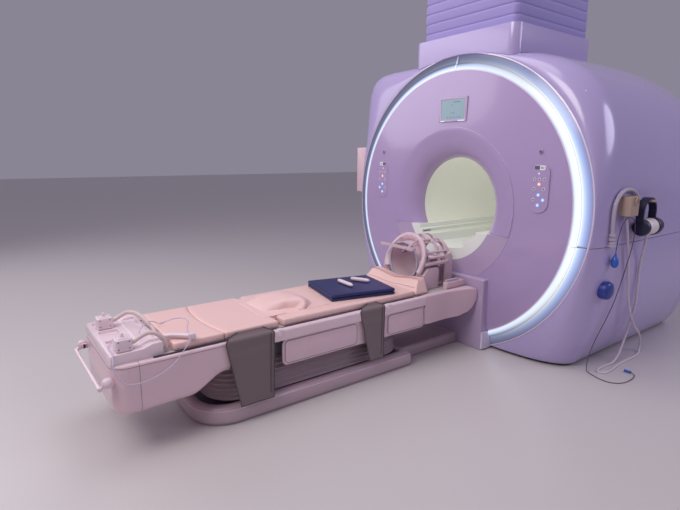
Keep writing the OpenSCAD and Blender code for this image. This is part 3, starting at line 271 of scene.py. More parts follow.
class PaintShop:
    """Builds each material once and hands it out."""

    def __init__(self) -> None:
        """Makes the groups that the materials share."""
        self._made: dict[Paint, bpy.types.Material] = {}
        self._mottle = self._mottle_group()
        self._relief = self._relief_group()

    @staticmethod
    def _mottle_group() -> bpy.types.NodeTree:
        """Makes the group that varies a colour a little over a surface.

        Returns:
            The node group.
        """
        sockets = {"Color": "Color", "Amount": "Float"}
        group = Tree.group("mottle", "ShaderNodeTree", sockets, {"Color": "Color"})
        source = group.add("NodeGroupInput")
        place = group.add("ShaderNodeTexCoord")["Object"]
        noise = group.add("ShaderNodeTexNoise", {"Vector": place, "Scale": 3.5, "Detail": 4.0})
        shift = group.add("ShaderNodeMath", {0: noise[0], 1: 0.5}, operation="SUBTRACT")
        gain = group.add("ShaderNodeMath", {0: shift[0], 1: source["Amount"], 2: 1.0},
                         operation="MULTIPLY_ADD")
        varied = group.add("ShaderNodeVectorMath", {0: source["Color"], "Scale": gain[0]},
                           operation="SCALE")
        group.add("NodeGroupOutput", {0: varied[0]})
        return group.tree

    @staticmethod
    def _relief_group() -> bpy.types.NodeTree:
        """Makes the group that turns a fine pattern into a bumped normal.

        Returns:
            The node group.
        """
        sockets = {"Scale": "Float", "Stretch": "Vector", "Strength": "Float"}
        group = Tree.group("relief", "ShaderNodeTree", sockets, {"Normal": "Vector"})
        source = group.add("NodeGroupInput")
        place = group.add("ShaderNodeTexCoord")["Object"]
        stretch = group.add("ShaderNodeVectorMath", {0: place, 1: source["Stretch"]}, operation="MULTIPLY")
        noise = group.add("ShaderNodeTexNoise",
                          {"Vector": stretch[0], "Scale": source["Scale"], "Detail": 3.0})
        bump = group.add("ShaderNodeBump",
                         {"Height": noise[0], "Strength": source["Strength"], "Distance": MM})
        group.add("NodeGroupOutput", {0: bump[0]})
        return group.tree

    def get(self, paint: Paint) -> bpy.types.Material:
        """Gives the material of a paint.

        Args:
            paint: The paint wanted.

        Returns:
            Its material, made on first use.
        """
        if paint not in self._made:
            self._made[paint] = self._build(paint.name.lower(), paint.value)
        return self._made[paint]

    def _build(self, name: str, finish: Finish) -> bpy.types.Material:
        """Makes one material.

        Args:
            name: Its name.
            finish: Its colour and surface.

        Returns:
            The material.
        """
        material, tree, shader = new_material(name)
        base = (*finish.base, 1.0)
        colour = tree.add("ShaderNodeGroup", {"Color": base, "Amount": MOTTLE}, node_tree=self._mottle)
        tree.fill(shader, {"Base Color": colour[0], "Roughness": finish.rough, "Metallic": finish.metal,
                           "Coat Weight": finish.coat, "Coat Roughness": 0.08, "Sheen Weight": finish.sheen})
        if finish.glow:
            tree.fill(shader, {"Emission Color": base, "Emission Strength": finish.glow})
        if finish.grain is not Grain.SMOOTH:
            values = dict(zip(("Scale", "Stretch", "Strength"), finish.grain.value))
            relief = tree.add("ShaderNodeGroup", values, node_tree=self._relief)
            tree.fill(shader, {"Normal": relief[0]})
        return material


class Shape:
    """Vertices and faces gathered for one object, in millimetres from the face plane."""

    def __init__(self) -> None:
        """Starts an empty shape."""
        self.points: list[tuple[float, float, float]] = []
        self.faces: list[list[int]] = []
        self.marks: list[int] = []

    def add(self, points: Iterable[Point], faces: Iterable[Sequence[int]], mark: int = 0) -> "Shape":
        """Adds loose geometry.

        Args:
            points: The new points.
            faces: Faces that index the new points.
            mark: Index of the faces' paint.

        Returns:
            This shape.
        """
        start = len(self.points)
        self.points.extend(tuple(float(c) for c in p) for p in points)
        for face in faces:
            self.faces.append([start + i for i in face])
            self.marks.append(mark)
        return self

    def join(self, other: "Shape") -> "Shape":
        """Adds all of another shape, with its paints.

        Args:
            other: The other shape.

        Returns:
            This shape.
        """
        self.add(other.points, other.faces)
        self.marks[len(self.marks) - len(other.marks):] = other.marks
        return self

    def grid(self, rows: np.ndarray, wrap: tuple[bool, bool] = (False, False),
             caps: bool = False, mark: int = 0) -> "Shape":
        """Adds a skin over rows of points.

        Args:
            rows: Array of rows, columns and coordinates.
            wrap: Whether rows and columns close on themselves.
            caps: Whether the first and last row are closed with a flat face.
            mark: Index of the faces' paint.

        Returns:
            This shape.
        """
        rows = np.asarray(rows, float)
        n, m = rows.shape[:2]
        faces = []
        for i in range(n if wrap[0] else n - 1):
            for j in range(m if wrap[1] else m - 1):
                i2, j2 = (i + 1) % n, (j + 1) % m
                faces.append([i * m + j, i * m + j2, i2 * m + j2, i2 * m + j])
        if caps:
            faces.append(list(range(m))[::-1])
            faces.append([(n - 1) * m + j for j in range(m)])
        return self.add(rows.reshape(-1, 3), faces, mark)

    def box(self, lo: Point, hi: Point, mark: int = 0) -> "Shape":
        """Adds a box between two corners.

        Args:
            lo: The lowest corner.
            hi: The highest corner.
            mark: Index of the faces' paint.

        Returns:
            This shape.
        """
        ring = [(0, 0), (1, 0), (1, 1), (0, 1)]
        ends = (lo, hi)
        rows = [[(ends[a][0], ends[b][1], ends[k][2]) for a, b in ring] for k in (0, 1)]
        return self.grid(np.array(rows), (False, True), True, mark)

    def prism(self, outline: Iterable[Point], plane: str, a: float, b: float,
              mark: int = 0) -> "Shape":
        """Adds an outline run straight between two levels.

        Args:
            outline: Corners in the plane.
            plane: The plane's two axes, such as "xz".
            a: First level along the third axis.
            b: Second level.
            mark: Index of the faces' paint.

        Returns:
            This shape.
        """
        rest = ({"x", "y", "z"} - set(plane)).pop()
        order = np.argsort(["xyz".index(c) for c in plane + rest])
        rows = np.array([[(*p, level) for p in outline] for level in (a, b)], float)
        return self.grid(rows[..., order], (False, True), True, mark)

    def plate(self, box: Sequence[float], r: float, y0: float, y1: float, mark: int = 0,
              steps: int = 6) -> "Shape":
        """Adds a plate with round corners that lies along the face.

        Args:
            box: Lowest x and z, highest x and z.
            r: Corner radius.
            y0: Its front.
            y1: Its back.
            mark: Index of the faces' paint.
            steps: Steps in each corner.

        Returns:
            This shape.
        """
        return self.prism(rounded(*box, r, steps), "xz", y0, y1, mark)

    def hoop(self, inner: float, outer: float, y0: float, y1: float, height: float = AXIS_H,
             steps: int = 120, mark: int = 0) -> "Shape":
        """Adds a ring of rectangular section about an axis that runs along the bore.

        Args:
            inner: Inner radius.
            outer: Outer radius.
            y0: Its front.
            y1: Its back.
            height: Height of the axis.
            steps: Steps round the axis.
            mark: Index of the faces' paint.

        Returns:
            This shape.
        """
        profile = [(inner, y0), (outer, y0), (outer, y1), (inner, y1)]
        return self.turned(profile, (0, 0, height), "y", steps, True, mark)

    def turned(self, profile: Iterable[Point], centre: Point, axis: str, steps: int = 64,
               closed: bool = False, mark: int = 0) -> "Shape":
        """Adds a profile turned about an axis.

        Args:
            profile: Points as radius and distance along the axis.
            centre: A point on the axis.
            axis: "x", "y" or "z".
            steps: Steps round the axis.
            closed: Whether the profile closes on itself.
            mark: Index of the faces' paint.

        Returns:
            This shape.
        """
        k = "xyz".index(axis)
        u, v = [i for i in range(3) if i != k]
        rows = []
        for step in range(steps):
            t = 2 * math.pi * step / steps
            row = []
            for r, d in profile:
                q = list(centre)
                q[k] += d
                q[u] += r * math.cos(t)
                q[v] += r * math.sin(t)
                row.append(q)
            rows.append(row)
        return self.grid(np.array(rows), (True, closed), False, mark)

    def tube(self, path: np.ndarray, radius: float | Sequence[float], sides: int = 12,
             flat: float = 1.0) -> "Shape":
        """Adds a tube along a path.

        Args:
            path: Points along the middle.
            radius: One radius, or one for each point.
            sides: Sides of the section.
            flat: Height of the section over its width.

        Returns:
            This shape.
        """
        path = np.asarray(path, float)
        radii = np.broadcast_to(np.asarray(radius, float), (len(path),))
        tangent = np.gradient(path, axis=0)
        tangent /= np.linalg.norm(tangent, axis=1)[:, None]
        side = np.array([0.0, 0.0, 1.0]) if abs(tangent[0][2]) < 0.9 else np.array([1.0, 0.0, 0.0])
        turn = np.linspace(0, 2 * np.pi, sides, endpoint=False)[:, None]
        rows = []
        for p, t, r in zip(path, tangent, radii):
            side = side - t * np.dot(side, t)
            side /= np.linalg.norm(side)
            rows.append(p + r * (flat * np.cos(turn) * side + np.sin(turn) * np.cross(t, side)))
        return self.grid(np.array(rows), (False, True), True)

    def mirrored(self) -> "Shape":
        """Adds a copy of everything on the other side of the middle.

        Returns:
            This shape.
        """
        start = len(self.points)
        self.points += [(-x, y, z) for x, y, z in self.points]
        self.faces += [[start + i for i in reversed(face)] for face in self.faces]
        self.marks += list(self.marks)
        return self

    def warp(self, move: Callable[[np.ndarray], np.ndarray]) -> "Shape":
        """Moves every point by a function of all points.

        Args:
            move: Takes and gives an array of points.

        Returns:
            This shape.
        """
        self.points = [tuple(p) for p in move(np.array(self.points, float))]
        return self


def smooth_route(points: Sequence[Point], steps: int) -> np.ndarray:
    """Runs a smooth curve through points.

    Args:
        points: The points to pass.
        steps: New points for each stretch.

    Returns:
        The points of the curve.
    """
    p = np.asarray(points, float)
    out = []
    for i in range(len(p) - 1):
        a, b, c, d = p[max(i - 1, 0)], p[i], p[i + 1], p[min(i + 2, len(p) - 1)]
        for t in np.arange(steps) / steps:
            out.append(0.5 * (2 * b + (c - a) * t + (2 * a - 5 * b + 4 * c - d) * t * t
                              + (3 * b - a - 3 * c + d) * t ** 3))
    out.append(p[-1])
    return np.array(out)


def corner_run(cx: float, cy: float, r: float, a0: float, a1: float,
               steps: int) -> list[tuple[float, float, float, float]]:
    """Gives points on an arc with their outward directions.

    Args:
        cx: First coordinate of the centre.
        cy: Second coordinate of the centre.
        r: Radius.
        a0: First angle in degrees.
        a1: Last angle in degrees.
        steps: Number of steps.

    Returns:
        Both coordinates and the direction of each point, both ends included.
    """
    turn = np.radians(np.linspace(a0, a1, steps + 1))
    return [(cx + r * math.cos(t), cy + r * math.sin(t), math.cos(t), math.sin(t)) for t in turn]


def arc(*run: float) -> list[tuple[float, float]]:
    """Gives points on an arc.

    Args:
        run: What corner_run takes.

    Returns:
        The points, both ends included.
    """
    return [(x, y) for x, y, *_ in corner_run(*run)]


def rounded(x0: float, y0: float, x1: float, y1: float, r: float,
            steps: int = 6) -> list[tuple[float, float]]:
    """Gives a rectangle's outline with round corners.

    Args:
        x0: Lowest first coordinate.
        y0: Lowest second coordinate.
        x1: Highest first coordinate.
        y1: Highest second coordinate.
        r: Corner radius.
        steps: Steps in each corner.

    Returns:
        The outline's points.
    """
    return (arc(x1 - r, y1 - r, r, 0, 90, steps) + arc(x0 + r, y1 - r, r, 90, 180, steps)
            + arc(x0 + r, y0 + r, r, 180, 270, steps) + arc(x1 - r, y0 + r, r, 270, 360, steps))


def cushion_form(lo: Point, hi: Point, r: float, cells: tuple[int, int, int]) -> Shape:
    """Makes a box of small cells with round edges.

    Args:
        lo: The lowest corner.
        hi: The highest corner.
        r: Edge radius.
        cells: Cells along each axis.

    Returns:
        The closed form.
    """
    lo, hi = np.asarray(lo, float), np.asarray(hi, float)
    index: dict[tuple[int, int, int], int] = {}
    points, faces = [], []

    def corner(i: int, j: int, k: int) -> int:
        """Gives the index of a grid corner's point, made on first use."""
        if (i, j, k) not in index:
            index[(i, j, k)] = len(points)
            share = np.array([i, j, k]) / np.array(cells)
            ease = 0.5 - 0.5 * np.cos(np.pi * share)
            p = lo + (hi - lo) * (0.45 * share + 0.55 * ease)
            inner = np.clip(p, lo + r, hi - r)
            away = p - inner
            size = np.linalg.norm(away)
            points.append(inner + away * (r / size) if size > 1e-9 else p)
        return index[(i, j, k)]

    for axis in range(3):
        u, v = (axis + 1) % 3, (axis + 2) % 3
        for end in (0, cells[axis]):
            for a in range(cells[u]):
                for b in range(cells[v]):
                    loop = []
                    for da, db in ((0, 0), (1, 0), (1, 1), (0, 1)):
                        key = [0, 0, 0]
                        key[axis], key[u], key[v] = end, a + da, b + db
                        loop.append(corner(*key))
                    faces.append(loop if end else loop[::-1])
    return Shape().add(points, faces)


def put(name: str, data: bpy.types.ID) -> bpy.types.Object:
    """Adds an object to the scene.

    Args:
        name: Its name.
        data: Its mesh, lamp or camera.

    Returns:
        The object.
    """
    obj = bpy.data.objects.new(name, data)
    bpy.context.collection.objects.link(obj)
    return obj


def round_edges(obj: bpy.types.Object, width: float, angle: float) -> None:
    """Rounds an object's sharp edges.

    Args:
        obj: The object.
        width: Edge rounding in millimetres.
        angle: Angle over which an edge is rounded, in degrees.
    """
    edge = obj.modifiers.new("edges", "BEVEL")
    edge.width = width * MM
    edge.segments = 3
    edge.limit_method = "ANGLE"
    edge.angle_limit = math.radians(angle)


@contextmanager
def editing(mesh: bpy.types.Mesh) -> Iterator[bmesh.types.BMesh]:
    """Opens a mesh for editing and writes it back.

    Args:
        mesh: The mesh.

    Yields:
        Its editable form.
    """
    work = bmesh.new()
    work.from_mesh(mesh)
    yield work
    work.to_mesh(mesh)
    work.free()


def slice_mesh(work: bmesh.types.BMesh, plane: Plane, clear: bool = False) -> None:
    """Cuts a mesh along a plane.

    Args:
        work: The mesh.
        plane: A point of the plane and its normal.
        clear: Whether what lies on the normal's side goes.
    """
    geometry = work.verts[:] + work.edges[:] + work.faces[:]
    bmesh.ops.bisect_plane(work, geom=geometry, plane_co=to_row([plane[0]])[0], plane_no=plane[1],
                           clear_outer=clear)


@dataclass
class Workshop:
    """Turns shapes into finished objects that ride on the frame's bodies."""

    frame: dict
    shop: PaintShop

    def make(self, name: str, shape: Shape, paints: Paint | Sequence[Paint], body: str,
             replaces: Sequence[str] = (), bevel: float = 0.0, smooth: float = 40.0,
             shell: float = 0.0, cuts: Sequence[Plane] = (),
             bevel_angle: float = 40.0) -> bpy.types.Object:
        """Builds an object from a shape.

        Args:
            name: The object's name.
            shape: Its geometry.
            paints: Its paint or paints, in the order of the shape's marks.
            body: The body it rides on, or empty to leave it on no body.
            replaces: CAD nodes it stands for.
            bevel: Edge rounding in millimetres.
            smooth: Angle under which edges shade smooth, in degrees.
            shell: Wall given to an open skin, in millimetres.
            cuts: Planes as point and normal; what lies on the normal's side is cut off.
            bevel_angle: Angle over which an edge is rounded.

        Returns:
            The object, riding on its body.
        """
        paints = [paints] if isinstance(paints, Paint) else list(paints)
        mesh = bpy.data.meshes.new(name)
        mesh.from_pydata(to_row(shape.points).tolist(), [], shape.faces)
        mesh.polygons.foreach_set("material_index", shape.marks)
        for paint in paints:
            mesh.materials.append(self.shop.get(paint))
        with editing(mesh) as work:
            bmesh.ops.remove_doubles(work, verts=work.verts, dist=1e-6)
            for plane in cuts:
                slice_mesh(work, plane, True)
            bmesh.ops.recalc_face_normals(work, faces=work.faces)
        obj = put(name, mesh)
        if shell:
            wall = obj.modifiers.new("wall", "SOLIDIFY")
            wall.thickness = shell * MM
            wall.offset = -1.0
        if bevel:
            round_edges(obj, bevel, bevel_angle)
        return self.place(obj, paints[0].value.slot, body, replaces, smooth)

    @staticmethod
    def place(obj: bpy.types.Object, slot: str, body: str,
              replaces: Sequence[str] = (), smooth: float = 40.0) -> bpy.types.Object:
        """Settles an object's modifiers, shades it and ties it to the frame.

        Args:
            obj: The object.
            slot: The record's material slot; not used.
            body: The body it rides on.
            replaces: CAD nodes it stands for.
            smooth: Angle under which edges shade smooth, in degrees.

        Returns:
            The same object.
        """
        settle(obj)
        obj.data.shade_smooth()
        obj.data.set_sharp_from_angle(angle=math.radians(smooth))
        if body:
            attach(obj, body)
        if replaces:
            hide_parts(*replaces)
        return obj

    def soften(self, node: str, paint: Paint, body: str, width: float, angle: float = 35.0) -> None:
        """Stands a copy with rounded edges in for a CAD node.

        Args:
            node: The CAD node.
            paint: The copy's paint.
            body: The body it rides on.
            width: Edge rounding in millimetres.
            angle: Angle over which an edge is rounded.
        """
        mesh = self.frame["nodes"][node].data.copy()
        mesh.materials.clear()
        mesh.materials.append(self.shop.get(paint))
        flat = math.radians(0.6)
        with editing(mesh) as work:
            bmesh.ops.remove_doubles(work, verts=work.verts, dist=2e-6)
            bmesh.ops.dissolve_limit(work, angle_limit=flat, verts=work.verts, edges=work.edges)
            for face in work.faces:
                face.material_index = 0
        if "custom_normal" in mesh.attributes:
            mesh.attributes.remove(mesh.attributes["custom_normal"])
        obj = put(node + "_soft", mesh)
        round_edges(obj, width, angle)
        self.place(obj, paint.value.slot, body, [node], 50.0)

    def studs(self, name: str, places: Sequence[Point], turns: Sequence[Sequence[float]], paint: Paint,
              body: str, radius: float, depth: float) -> None:
        """Repeats a small disc over places with Geometry Nodes.

        Args:
            name: The object's name.
            places: Middle of each disc.
            turns: Turn of each disc as Euler angles.
            paint: Their paint.
            body: The body they ride on.
            radius: Radius in millimetres.
            depth: Thickness in millimetres.
        """
        mesh = bpy.data.meshes.new(name)
        mesh.from_pydata(to_row(places).tolist(), [], [])
        lean = mesh.attributes.new("lean", "FLOAT_VECTOR", "POINT")
        lean.data.foreach_set("vector", np.ravel([tuple(t) for t in turns]))
        obj = put(name, mesh)
        repeat = obj.modifiers.new("discs", "NODES")
        repeat.node_group = self._disc_group()
        values = {"Radius": radius * MM, "Depth": depth * MM, "Material": self.shop.get(paint)}
        for item in repeat.node_group.interface.items_tree:
            if item.in_out == "INPUT" and item.name in values:
                repeat[item.identifier] = values[item.name]
        self.place(obj, paint.value.slot, body)

    @staticmethod
    def _disc_group() -> bpy.types.NodeTree:
        """Makes the Geometry Nodes group that sets a disc on every point.

        Returns:
            The node group.
        """
        sockets = {"Geometry": "Geometry", "Radius": "Float", "Depth": "Float", "Material": "Material"}
        group = Tree.group("discs", "GeometryNodeTree", sockets, {"Geometry": "Geometry"})
        source = group.add("NodeGroupInput")
        points = group.add("GeometryNodeMeshToPoints", {"Mesh": source["Geometry"]})
        disc = group.add("GeometryNodeMeshCylinder",
                         {"Vertices": 24, "Radius": source["Radius"], "Depth": source["Depth"]})
        lean = group.add("GeometryNodeInputNamedAttribute", {"Name": "lean"}, data_type="FLOAT_VECTOR")
        turn = group.add("FunctionNodeEulerToRotation", {"Euler": lean["Attribute"]})
        spread = group.add("GeometryNodeInstanceOnPoints", {
            "Points": points["Points"], "Instance": disc["Mesh"], "Rotation": turn["Rotation"]})
        real = group.add("GeometryNodeRealizeInstances", {"Geometry": spread["Instances"]})
        dress = group.add("GeometryNodeSetMaterial",
                          {"Geometry": real["Geometry"], "Material": source["Material"]})
        group.add("NodeGroupOutput", {"Geometry": dress["Geometry"]})
        return group.tree

    def paint(self, paint: Paint, *nodes: str) -> None:
        """Gives CAD nodes that are shown a finish.

        Args:
            paint: The paint.
            nodes: Names of the nodes.
        """
        for node in nodes:
            mesh = self.frame["nodes"][node].data
            mesh.materials.clear()
            mesh.materials.append(self.shop.get(paint))


def settle(obj: bpy.types.Object) -> None:
    """Makes an object's modifiers part of its mesh.

    Args:
        obj: The object.
    """
    if not obj.modifiers:
        return
    bpy.context.view_layer.update()
    graph = bpy.context.evaluated_depsgraph_get()
    mesh = bpy.data.meshes.new_from_object(obj.evaluated_get(graph), depsgraph=graph)
    old = obj.data
    obj.modifiers.clear()
    obj.data = mesh
    mesh.name = old.name
    bpy.data.meshes.remove(old)


def relax(obj: bpy.types.Object, pinned: Callable[[Vector], bool], pressure: float, frames: int) -> None:
    """Lets a cover of cloth settle over its filling.

    Args:
        obj: The closed cushion.
        pinned: Tells which points stay where they are.
        pressure: Push of the filling.
        frames: Frames to run.
    """
    group = obj.vertex_groups.new(name="held")
    group.add([v.index for v in obj.data.vertices if pinned(v.co)], 1.0, "REPLACE")
    cloth = obj.modifiers.new("cloth", "CLOTH")
    settings = cloth.settings
    settings.quality = 6
    settings.mass = 0.25
    settings.tension_stiffness = settings.compression_stiffness = 12.0
    settings.bending_stiffness = 0.4
    settings.use_pressure = True
    settings.uniform_pressure_force = pressure
    settings.vertex_group_mass = group.name
    cloth.collision_settings.use_collision = False
    scene = bpy.context.scene
    for step in range(1, frames + 1):
        scene.frame_set(step)
    settle(obj)
    obj.vertex_groups.clear()
    scene.frame_set(1)


@dataclass(frozen=True)
class Outline:
    """Form of the gantry's covers, in polar form about the bore axis."""

    half_w: float = 1090.0
    top_r: float = 1050.0
    low_r: float = 1250.0
    ring_r: float = 1066.0
    front: float = 52.0
    edge: float = 200.0
    tail_y: float = 900.0
    tail_drop: float = 100.0
    rear: float = 1601.5
    depth: float = 1740.0

    def full_r(self, t: np.ndarray) -> np.ndarray:
        """Radius of the covers behind the rounded front edge.

        Args:
            t: Angles in radians.

        Returns:
            Radii in millimetres.
        """
        c, s = np.cos(t), np.sin(t)
        n = np.where(s < 0, 3.6, np.where(c < 0, 11.0, 3.2))
        reach = np.where(s < 0, self.low_r, self.top_r)
        return ((np.abs(c) / self.half_w) ** n + (np.abs(s) / reach) ** n) ** (-1 / n)

    def edge_len(self, t: np.ndarray) -> np.ndarray:
        """Depth of the rounded front edge.

        Args:
            t: Angles in radians.

        Returns:
            Depths in millimetres.
        """
        return self.edge * (1 - 0.7 * np.maximum(0, np.sin(t)) * np.maximum(0, -np.cos(t)))

    def radius(self, t: np.ndarray, y: np.ndarray) -> np.ndarray:
        """Radius of the covers at angles and depths.

        Args:
            t: Angles in radians.
            y: Depths behind the face plane.

        Returns:
            Radii in millimetres.
        """
        u = np.clip((y - self.front) / self.edge_len(t), 0, 1)
        run = np.clip((y - self.tail_y) / (self.depth - self.tail_y), 0, None)
        drop = self.tail_drop * np.maximum(0, np.sin(t)) * run ** 2
        return self.ring_r + (self.full_r(t) - self.ring_r) * np.sqrt(1 - (1 - u) ** 2) - drop

    def angles(self) -> np.ndarray:
        """Gives the angles to sample, closer round the square shoulder.

        Returns:
            Angles in radians.
        """
        return np.radians(np.concatenate([
            np.arange(0, 96, 1.5), np.arange(96, 172, 0.75), np.arange(172, 360, 1.5)]))

    @staticmethod
    def place(t: np.ndarray, r: np.ndarray, y: np.ndarray) -> np.ndarray:
        """Turns polar places into points.

        Args:
            t: Angles in radians.
            r: Radii.
            y: Depths.

        Returns:
            Points as x, depth and height.
        """
        return np.stack([r * np.cos(t), y + 0 * r, AXIS_H + r * np.sin(t)], axis=-1)

    def skin(self) -> np.ndarray:
        """Gives the outer skin from the ring to the rear cover.

        Returns:
            Rows of points, one row for each angle.
        """
        t = self.angles()[:, None]
        turn = np.linspace(0.0, np.pi / 2, 15)
        front = self.front + self.edge_len(t) * (1 - np.cos(turn))[None, :]
        share = np.linspace(0, 1, 26)[1:][None, :]
        back = front[:, -1:] + (self.rear - 1.5 - front[:, -1:]) * share
        y = np.concatenate([front, back], axis=1)
        r = self.radius(t, y)
        r[:, 0] += 1.5
        return self.place(t + 0 * y, r, y)


@dataclass
class Part:
    """A part of the scanner, made in the workshop."""

    shop: Workshop

    def build(self) -> None:
        """Builds the part."""
        raise NotImplementedError


@dataclass
class GantryCovers(Part):
    """Covers, face, flare and duct of the gantry."""

    outline: Outline = field(default_factory=Outline)
    joint: float = 1.5
    duct_foot: float = 2205.3
    duct_h: float = 345.0

    def build(self) -> None:
        """Builds the covers."""
        self._shells()
        self._rear()
        self._face()
        self._turret()
        self._screws()

    def _shells(self) -> None:
        """Builds the upper cover and both lower side covers from one skin."""
        skin = self.outline.skin()
        under_seam = ((0, 0, SEAM_H - self.joint), UP)
        over_floor = ((0, 0, SKIRT_H), DOWN)
        parts = [("upper_shell", "upper_cover", [((0, 0, SEAM_H + self.joint), DOWN)])]
        for side, sign in (("left", -1), ("right", 1)):
            inner = ((sign * 200, 0, 0), (-sign, 0, 0))
            parts.append(("lower_shell_" + side, "side_cover_" + side, [under_seam, over_floor, inner]))
        for name, node, cuts in parts:
            self.shop.make(name, Shape().grid(skin, (True, False)), Paint.COVER_LIGHT_TINT, "base", [node], bevel=1.2,
                           shell=WALL, cuts=cuts, smooth=30, bevel_angle=60)

    def _rear(self) -> None:
        """Builds the rear cover with its own flare into the bore."""
        form = self.outline
        t = form.angles()[:, None]
        start, back, edge = form.rear, form.depth, 50.0
        turn = np.linspace(0, np.pi / 2, 9)[None, :]
        rim = form.radius(t, back + 0 * t)
        first = form.radius(t, start + 0 * t)
        side_y = np.linspace(start, back - edge, 5)[None, :]
        side_r = first + (rim - first) * (side_y - start) / (back - edge - start)
        round_r = rim - edge + edge * np.cos(turn[:, 1:])
        round_y = back - edge + edge * np.sin(turn[:, 1:]) + 0 * t
        mouth = MOUTH_R + 0 * t
        horn_r = MOUTH_R - FLARE_IN * np.sin(turn[:, 1:]) + 0 * t
        horn_y = back - FLARE_DEEP + FLARE_DEEP * np.cos(turn[:, 1:]) + 0 * t
        r = np.concatenate([side_r, round_r, mouth, horn_r], axis=1)
        y = np.concatenate([side_y + 0 * t, round_y, back + 0 * t, horn_y], axis=1)
        shape = Shape().grid(form.place(t + 0 * y, r, y), (True, False))
        self.shop.make("rear_shell", shape, Paint.COVER_LIGHT_TINT, "base", ["rear_cover"], shell=WALL,
                       cuts=[((0, 0, SKIRT_H), DOWN)], smooth=35)

    def _face(self) -> None:
        """Builds the dished face and the flare from its mouth into the bore."""
        dish, reach, rim_r, flare_foot = 17.0, 393.0, 949.7, 830.3
        profile = [(MOUTH_R + 0.3, 7.0), (MOUTH_R + 0.6, 1.0), (MOUTH_R + 1.6, 0.0)]
        profile += [(r, dish * ((r - MOUTH_R) / reach) ** 2)
                    for r in np.linspace(MOUTH_R + 0.3, rim_r, 20)[1:]]
        face = Shape().turned(profile, (0, 0, AXIS_H), "y", 240)
        self.shop.make("face_shell", face, Paint.FACE, "base", ["face_cover"], shell=7.0, smooth=30)
        horn = [(MOUTH_R - FLARE_IN * math.sin(a), FLARE_DEEP - FLARE_DEEP * math.cos(a))
                for a in np.radians(np.linspace(0, 90, 22))]
        horn[0] = (MOUTH_R - 0.6, 0.6)
        flare = Shape().turned(horn, (0, 0, AXIS_H), "y", 240)
        self.shop.make("flare_shell", flare, Paint.FACE, "base", ["front_flare"], shell=-6.0,
                       cuts=[((0, 0, flare_foot), DOWN)], smooth=30)

    def _turret(self) -> None:
        """Builds the turret and the cloth round the duct, with its five folds."""
        self.shop.soften("turret_cover", Paint.COVER_LIGHT_TINT, "base", 14.0, 60.0)
        rows = []
        y0, y1, half, r, folds = 110.0, 1000.0, 410.0, 40.0, 5
        for z in np.linspace(0, 1, 46):
            level = self.duct_foot + self.duct_h * z
            fold = (z * folds) % 1.0
            dip = 7.0 * math.exp(-((fold - 0.92) / 0.06) ** 2) + 3.0 * abs(fold - 0.5)
            rows.append([(x + 2.0 * math.sin(x * 0.013 + level * 0.02),
                          y + 1.5 * math.sin(x * 0.017 + z * 9), level)
                         for x, y in rounded(-half + dip, y0 + dip, half - dip, y1 - dip, r, 8)])
        shroud = Shape().grid(np.array(rows), (False, True), True)
        self.shop.make("shroud_cloth", shroud, Paint.DUCT_LIGHT_TINT, "base", ["duct_shroud"], smooth=50)

    def _screws(self) -> None:
        """Sets flat screw heads on the covers, square to the skin."""
        form = self.outline
        places, turns = [], []
        for degrees, y in ((39.0, 110.0), (66.0, 104.0), (112.0, 100.0), (160.0, 108.0), (8.0, 400.0)):
            t = math.radians(degrees)
            ts, ys = np.array([t, t]), np.array([y, y + 3.0])
            p = form.place(ts, form.radius(ts, ys), ys)
            out = np.cross(p[1] - p[0], np.array([-math.sin(t), 0.0, math.cos(t)]))
            out /= np.linalg.norm(out)
            if out @ np.array([math.cos(t), 0, math.sin(t)]) < 0:
                out = -out
            places.append(p[0])
            turns.append(Vector(out).to_track_quat("Z", "Y").to_euler())
        self.shop.studs("cover_screws", places, turns, Paint.BEZEL, "base", 5.0, 2.0)


